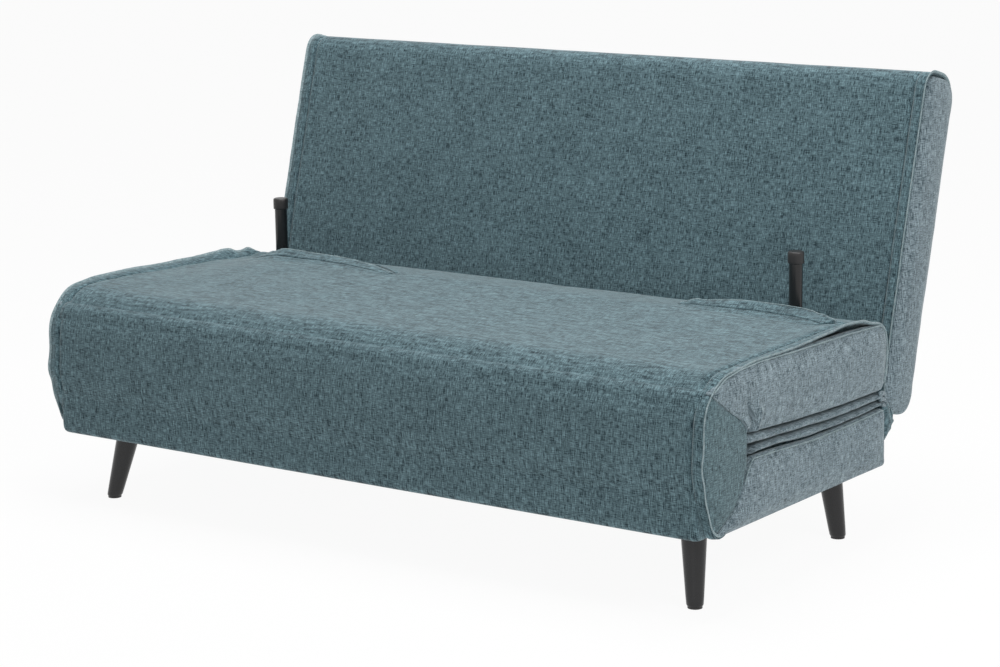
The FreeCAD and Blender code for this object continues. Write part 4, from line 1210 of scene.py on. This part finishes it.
def hem(name, root, top, heights, section, node):
    # a turned edge of the cover: root and top are lines over the seat, as x and y, and heights
    # gives how high the top stands along it. section: share from root to top, and share of height
    count = HEM_STEPS
    points, faces = [], []
    for k in range(count + 1):
        t = k / count
        a, b = along_line(root, t), along_line(top, t)
        for share, rise in section:
            p = a.lerp(b, share)
            high = profile(heights, t) * (1 + 0.12 * ripple(Vector((p.x, p.y, 0)), 50, 97.0))
            lift = rise * (high if rise > 0 else HEM_SUNK)
            points.append(Vector((p.x, p.y, seat_height(p.x, p.y) + 0.3 + lift)) * MM)
    n = len(section)
    for k in range(count):
        for i in range(n - 1):
            faces.append((k * n + i, (k + 1) * n + i, (k + 1) * n + i + 1, k * n + i + 1))
        faces.append((k * n, k * n + n - 1, (k + 1) * n + n - 1, (k + 1) * n))
    faces.append(tuple(range(n)))
    faces.append(tuple(reversed([count * n + i for i in range(n)])))
    piece = closed_up(add_mesh(name, points, faces, COVER))
    subdivided(piece)
    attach(piece, "seat_section")
    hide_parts(node)
    if section is not STANDING:
        return
    rim, foot, ways = [], [], []
    for k in range(count + 1):
        t = k / count
        a, b = along_line(root, t), along_line(top, t)
        rise = profile(heights, t)
        rim.append(Vector((b.x, b.y, seat_height(b.x, b.y) + 0.2 + rise)))
        foot.append(Vector((a.x, a.y, seat_height(a.x, a.y) + 0.3 + 0.36 * rise)))
        ways.append(Vector((0, 0, 1)))
    edge = strand(f"{name}_edge", rim, ways, 1.3, 1.2, LIP_COVER_PAINTED_HIGHLIGHT, sides=8)
    # the dark stitches along the foot of the hem are stitching that also stands in for the shadow
    # in the gap under the hem: a painted shadow line
    facing = Vector((0, -0.6, 0.8)).normalized()
    thread = stitches(f"{name}_stitches", foot, [facing] * len(foot), HEM_STITCH)
    for extra in (edge, thread):
        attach(extra, "seat_section")


STANDING = [(-0.9, -1.0), (-0.9, -0.05), (-0.7, 0.02), (-0.45, 0.10), (-0.2, 0.22), (-0.06, 0.33),
            (-0.02, 0.1), (0.05, 0.08), (0.08, 0.38), (0.14, 0.44), (0.35, 0.57), (0.65, 0.79),
            (0.88, 0.96), (0.96, 1.0), (1.0, 0.97), (1.04, 0.8), (1.05, 0.2), (1.05, -1.0)]
LYING = [(0.0, -1.0), (0.0, 0.0), (0.03, 0.7), (0.12, 1.0), (0.3, 0.9), (0.36, 0.7), (0.42, 0.9),
         (0.7, 0.95), (0.9, 1.0), (0.98, 0.7), (1.0, 0.0), (1.0, -1.0)]
LOW = [(0, 1.5), (0.1, 4), (0.9, 4), (1, 1.5)]
hem("slit_hem_left", [(-634, 40), (-590, 50), (-467, 50), (-400, 42), (-340, 30), (-268, 12)],
    [(-634, 66), (-590, 78), (-467, 76), (-400, 66), (-340, 50), (-262, 22)],
    [(0, 6), (0.07, 13), (0.13, 18), (0.45, 15), (0.56, 13), (0.78, 8), (1, 2)],
    STANDING, "hem_flap_left")
hem("slit_hem_right", [(376, 58), (430, 52), (500, 54), (560, 54), (630, 48), (690, 30)],
    [(376, 66), (430, 76), (500, 80), (590, 79), (640, 76), (708, 50)],
    [(0, 5), (0.1, 13), (0.34, 19), (0.57, 20), (0.73, 19), (0.91, 13), (1, 6)],
    STANDING, "hem_flap_right")
hem("slit_rear_hem_left", [(-640, 110), (-560, 118), (-450, 112), (-340, 84), (-262, 30)],
    [(-640, 124), (-560, 134), (-450, 128), (-340, 100), (-262, 42)],
    LOW, LYING, "hem_flap_left")
hem("slit_rear_hem_right", [(380, 104), (450, 112), (560, 116), (650, 108), (700, 70)],
    [(380, 118), (450, 127), (560, 131), (660, 122), (712, 80)],
    LOW, LYING, "hem_flap_right")


# Legs
# Turned tapered legs, lacquered black, that lean outwards to the corners. Each one follows the
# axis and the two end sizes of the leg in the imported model.
def speckled(name, colour, roughness, scale, detail, gloss, relief, dark, light):
    # a hard finish that is a little uneven. gloss: how much its roughness varies, and the least.
    # relief: strength and depth of its bumps
    material, shader = painted(name, colour, roughness)
    g = Graph(material)
    grain = g.noise(g.place()["Object"], scale, detail)
    g.put(shader.inputs["Roughness"], g.math("MULTIPLY_ADD", grain, *gloss))
    if relief is not None:
        g.put(shader.inputs["Normal"], g.bump(grain, *relief))
    g.put(shader.inputs["Base Color"], g.blend_colours(grain, dark, light))
    return material, shader


LACQUER = speckled("black_lacquer", srgb(14, 14, 16), 0.3, 60.0, 4.0, (0.14, 0.2), (0.06, 0.0008),
                   srgb(9, 9, 11), srgb(20, 20, 23))[0]
FOOT_EDGE = ((0, 2.0), (0.006, 0.8), (0.02, 0.0))   # share of the height, how much narrower


def turned(name, rings, material, sides=48):
    # rings: centre and radius, from the bottom up, all level
    points = []
    for centre, radius in rings:
        for k in range(sides):
            a = 2 * math.pi * k / sides
            points.append((centre + Vector((math.cos(a), math.sin(a), 0)) * radius) * MM)
    faces = rings_joined(len(rings), sides) + ring_ends(len(rings), sides)
    return add_mesh(name, points, faces, material)


for corner in ("front_left", "front_right", "rear_left", "rear_right"):
    node = frame["nodes"][f"leg_{corner}"]
    leg_points = [v.co / MM for v in node.data.vertices]
    low_z, high_z = min(p.z for p in leg_points), max(p.z for p in leg_points)
    ends = []
    for z in (low_z, high_z):
        xs = [p.x for p in leg_points if abs(p.z - z) < 0.5]
        ys = [p.y for p in leg_points if abs(p.z - z) < 0.5]
        middle = Vector(((min(xs) + max(xs)) / 2, (min(ys) + max(ys)) / 2, z))
        ends.append((middle, (max(xs) - min(xs)) / 2))
    (foot_at, foot_r), (top_at, top_r) = ends
    # the foot's edge is rounded off, and the rest tapers evenly
    rings = [(foot_at.lerp(top_at, t), foot_r - less) for t, less in FOOT_EDGE]
    for t in (k / 10 for k in range(1, 11)):
        rings.append((foot_at.lerp(top_at, t), foot_r + (top_r - foot_r) * t))
    leg = turned(f"tapered_leg_{corner}", rings, LACQUER)
    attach(leg, "base")
    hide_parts(f"leg_{corner}")


# Support legs
# Black steel tubes with moulded end caps. They stand up through the seat here, and carry it
# when the seat section is folded over to the front.
TUBE_PAINT = speckled("black_steel", srgb(20, 20, 22), 0.3, 900.0, 2.0, (0.12, 0.14),
                      (0.05, 0.0003), srgb(7, 7, 8), srgb(18, 18, 20))[0]
CAP_PLASTIC = speckled("black_plastic", srgb(34, 33, 34), 0.5, 1500.0, 2.0, (0.22, 0.28),
                       (0.2, 0.0004), srgb(18, 17, 18), srgb(36, 34, 35))[0]
CAP_PROFILE = [
    # height above the cap's foot, and how far its side stands back from the full radius
    (0.0, -0.8), (0.6, -0.1), (1.4, 0.0), (6.0, 0.0), (12.0, 0.0), (18.6, 0.0), (20.2, -0.4),
    (21.3, -1.2), (21.9, -2.6), (22.0, -5.0), (21.6, -9.0), (21.5, -14.0),
]
for side in ("left", "right"):
    tube_low, tube_high = (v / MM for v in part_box(f"support_tube_{side}"))
    cap_low, cap_high = (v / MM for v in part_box(f"tube_cap_{side}"))
    centre = Vector(((tube_low.x + tube_high.x) / 2, (tube_low.y + tube_high.y) / 2, 0))
    r = (tube_high.x - tube_low.x) / 2
    levels = [tube_low.z + (tube_high.z - tube_low.z) * k / 12 for k in range(13)]
    rings = [(Vector((centre.x, centre.y, z)), r) for z in levels]
    tube = turned(f"support_leg_{side}", rings, TUBE_PAINT)
    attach(tube, "seat_section")
    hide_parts(f"support_tube_{side}")
    r = (cap_high.x - cap_low.x) / 2
    rings = [(Vector((centre.x, centre.y, cap_low.z + z)), r + dr) for z, dr in CAP_PROFILE]
    cap = turned(f"leg_cap_{side}", rings, CAP_PLASTIC)
    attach(cap, "seat_section")
    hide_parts(f"tube_cap_{side}")


# Frame, fittings and fasteners
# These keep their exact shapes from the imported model, and get the finish of the real parts:
# sawn pine, pressed hardboard, bright zinc plate, black steel, moulded plastic, black lining.
def wooden(name, dark, light, size):
    # growth rings that are long along x, and fine pores between them
    material, shader = painted(name, dark, 0.6)
    g = Graph(material)
    x, y, z = g.parts(g.place()["Object"])
    rings = g.noise(g.vector(g.math("MULTIPLY", x, 4.0), g.math("MULTIPLY", y, size),
                             g.math("MULTIPLY", z, size)), 1.0, 6.0, 0.65)
    pores = g.noise(g.vector(g.math("MULTIPLY", x, 30.0), g.math("MULTIPLY", y, size * 14), z),
                    1.0, 3.0)
    tone = g.math("ADD", g.math("MULTIPLY", rings, 0.75), g.math("MULTIPLY", pores, 0.3))
    g.put(shader.inputs["Base Color"], g.blend_colours(tone, dark, light))
    g.put(shader.inputs["Roughness"], g.math("MULTIPLY_ADD", pores, 0.25, 0.5))
    g.put(shader.inputs["Normal"], g.bump(tone, 0.2, 0.001))
    return material


PINE = wooden("pine", srgb(176, 132, 84), srgb(224, 190, 140), 60.0)
HARDBOARD = wooden("hardboard", srgb(110, 78, 52), srgb(140, 104, 74), 400.0)
ZINC, zinc_shader = speckled("plated_steel", srgb(176, 178, 180), 0.3, 180.0, 4.0, (0.25, 0.2),
                             None, srgb(150, 152, 152), srgb(205, 206, 204))
zinc_shader.inputs["Metallic"].default_value = 1.0
LINING = weave("lining_cloth", srgb(16, 16, 17), srgb(40, 40, 42), 1.6)

FINISHES = {
    PINE: ("leg_blocks", "base_side_rails", "base_cross_rails", "base_slats", "seat_side_rails",
           "seat_end_rails", "seat_inner_rails", "seat_slats", "seat_arm_spacers",
           "back_side_rails", "back_end_rails", "back_centre_rail", "back_slats"),
    HARDBOARD: ("seat_deck",),
    ZINC: ("leg_screws", "fold_pins", "base_bolts", "pivot_pins", "seat_bolts", "back_bolts",
           "pawl_studs", "pawl_springs", "pawl_left", "pawl_right"),
    TUBE_PAINT: ("leg_plates", "base_fold_arms", "seat_fold_arms", "ratchet_quadrant_left",
                 "ratchet_quadrant_right", "tube_sockets", "swing_plate_left",
                 "swing_plate_right"),
    CAP_PLASTIC: ("leg_glides",),
    LINING: ("dust_cover",),
}
for material, names in FINISHES.items():
    for name in names:
        node = frame["nodes"][name]
        node.data.materials.clear()
        node.data.materials.append(material)
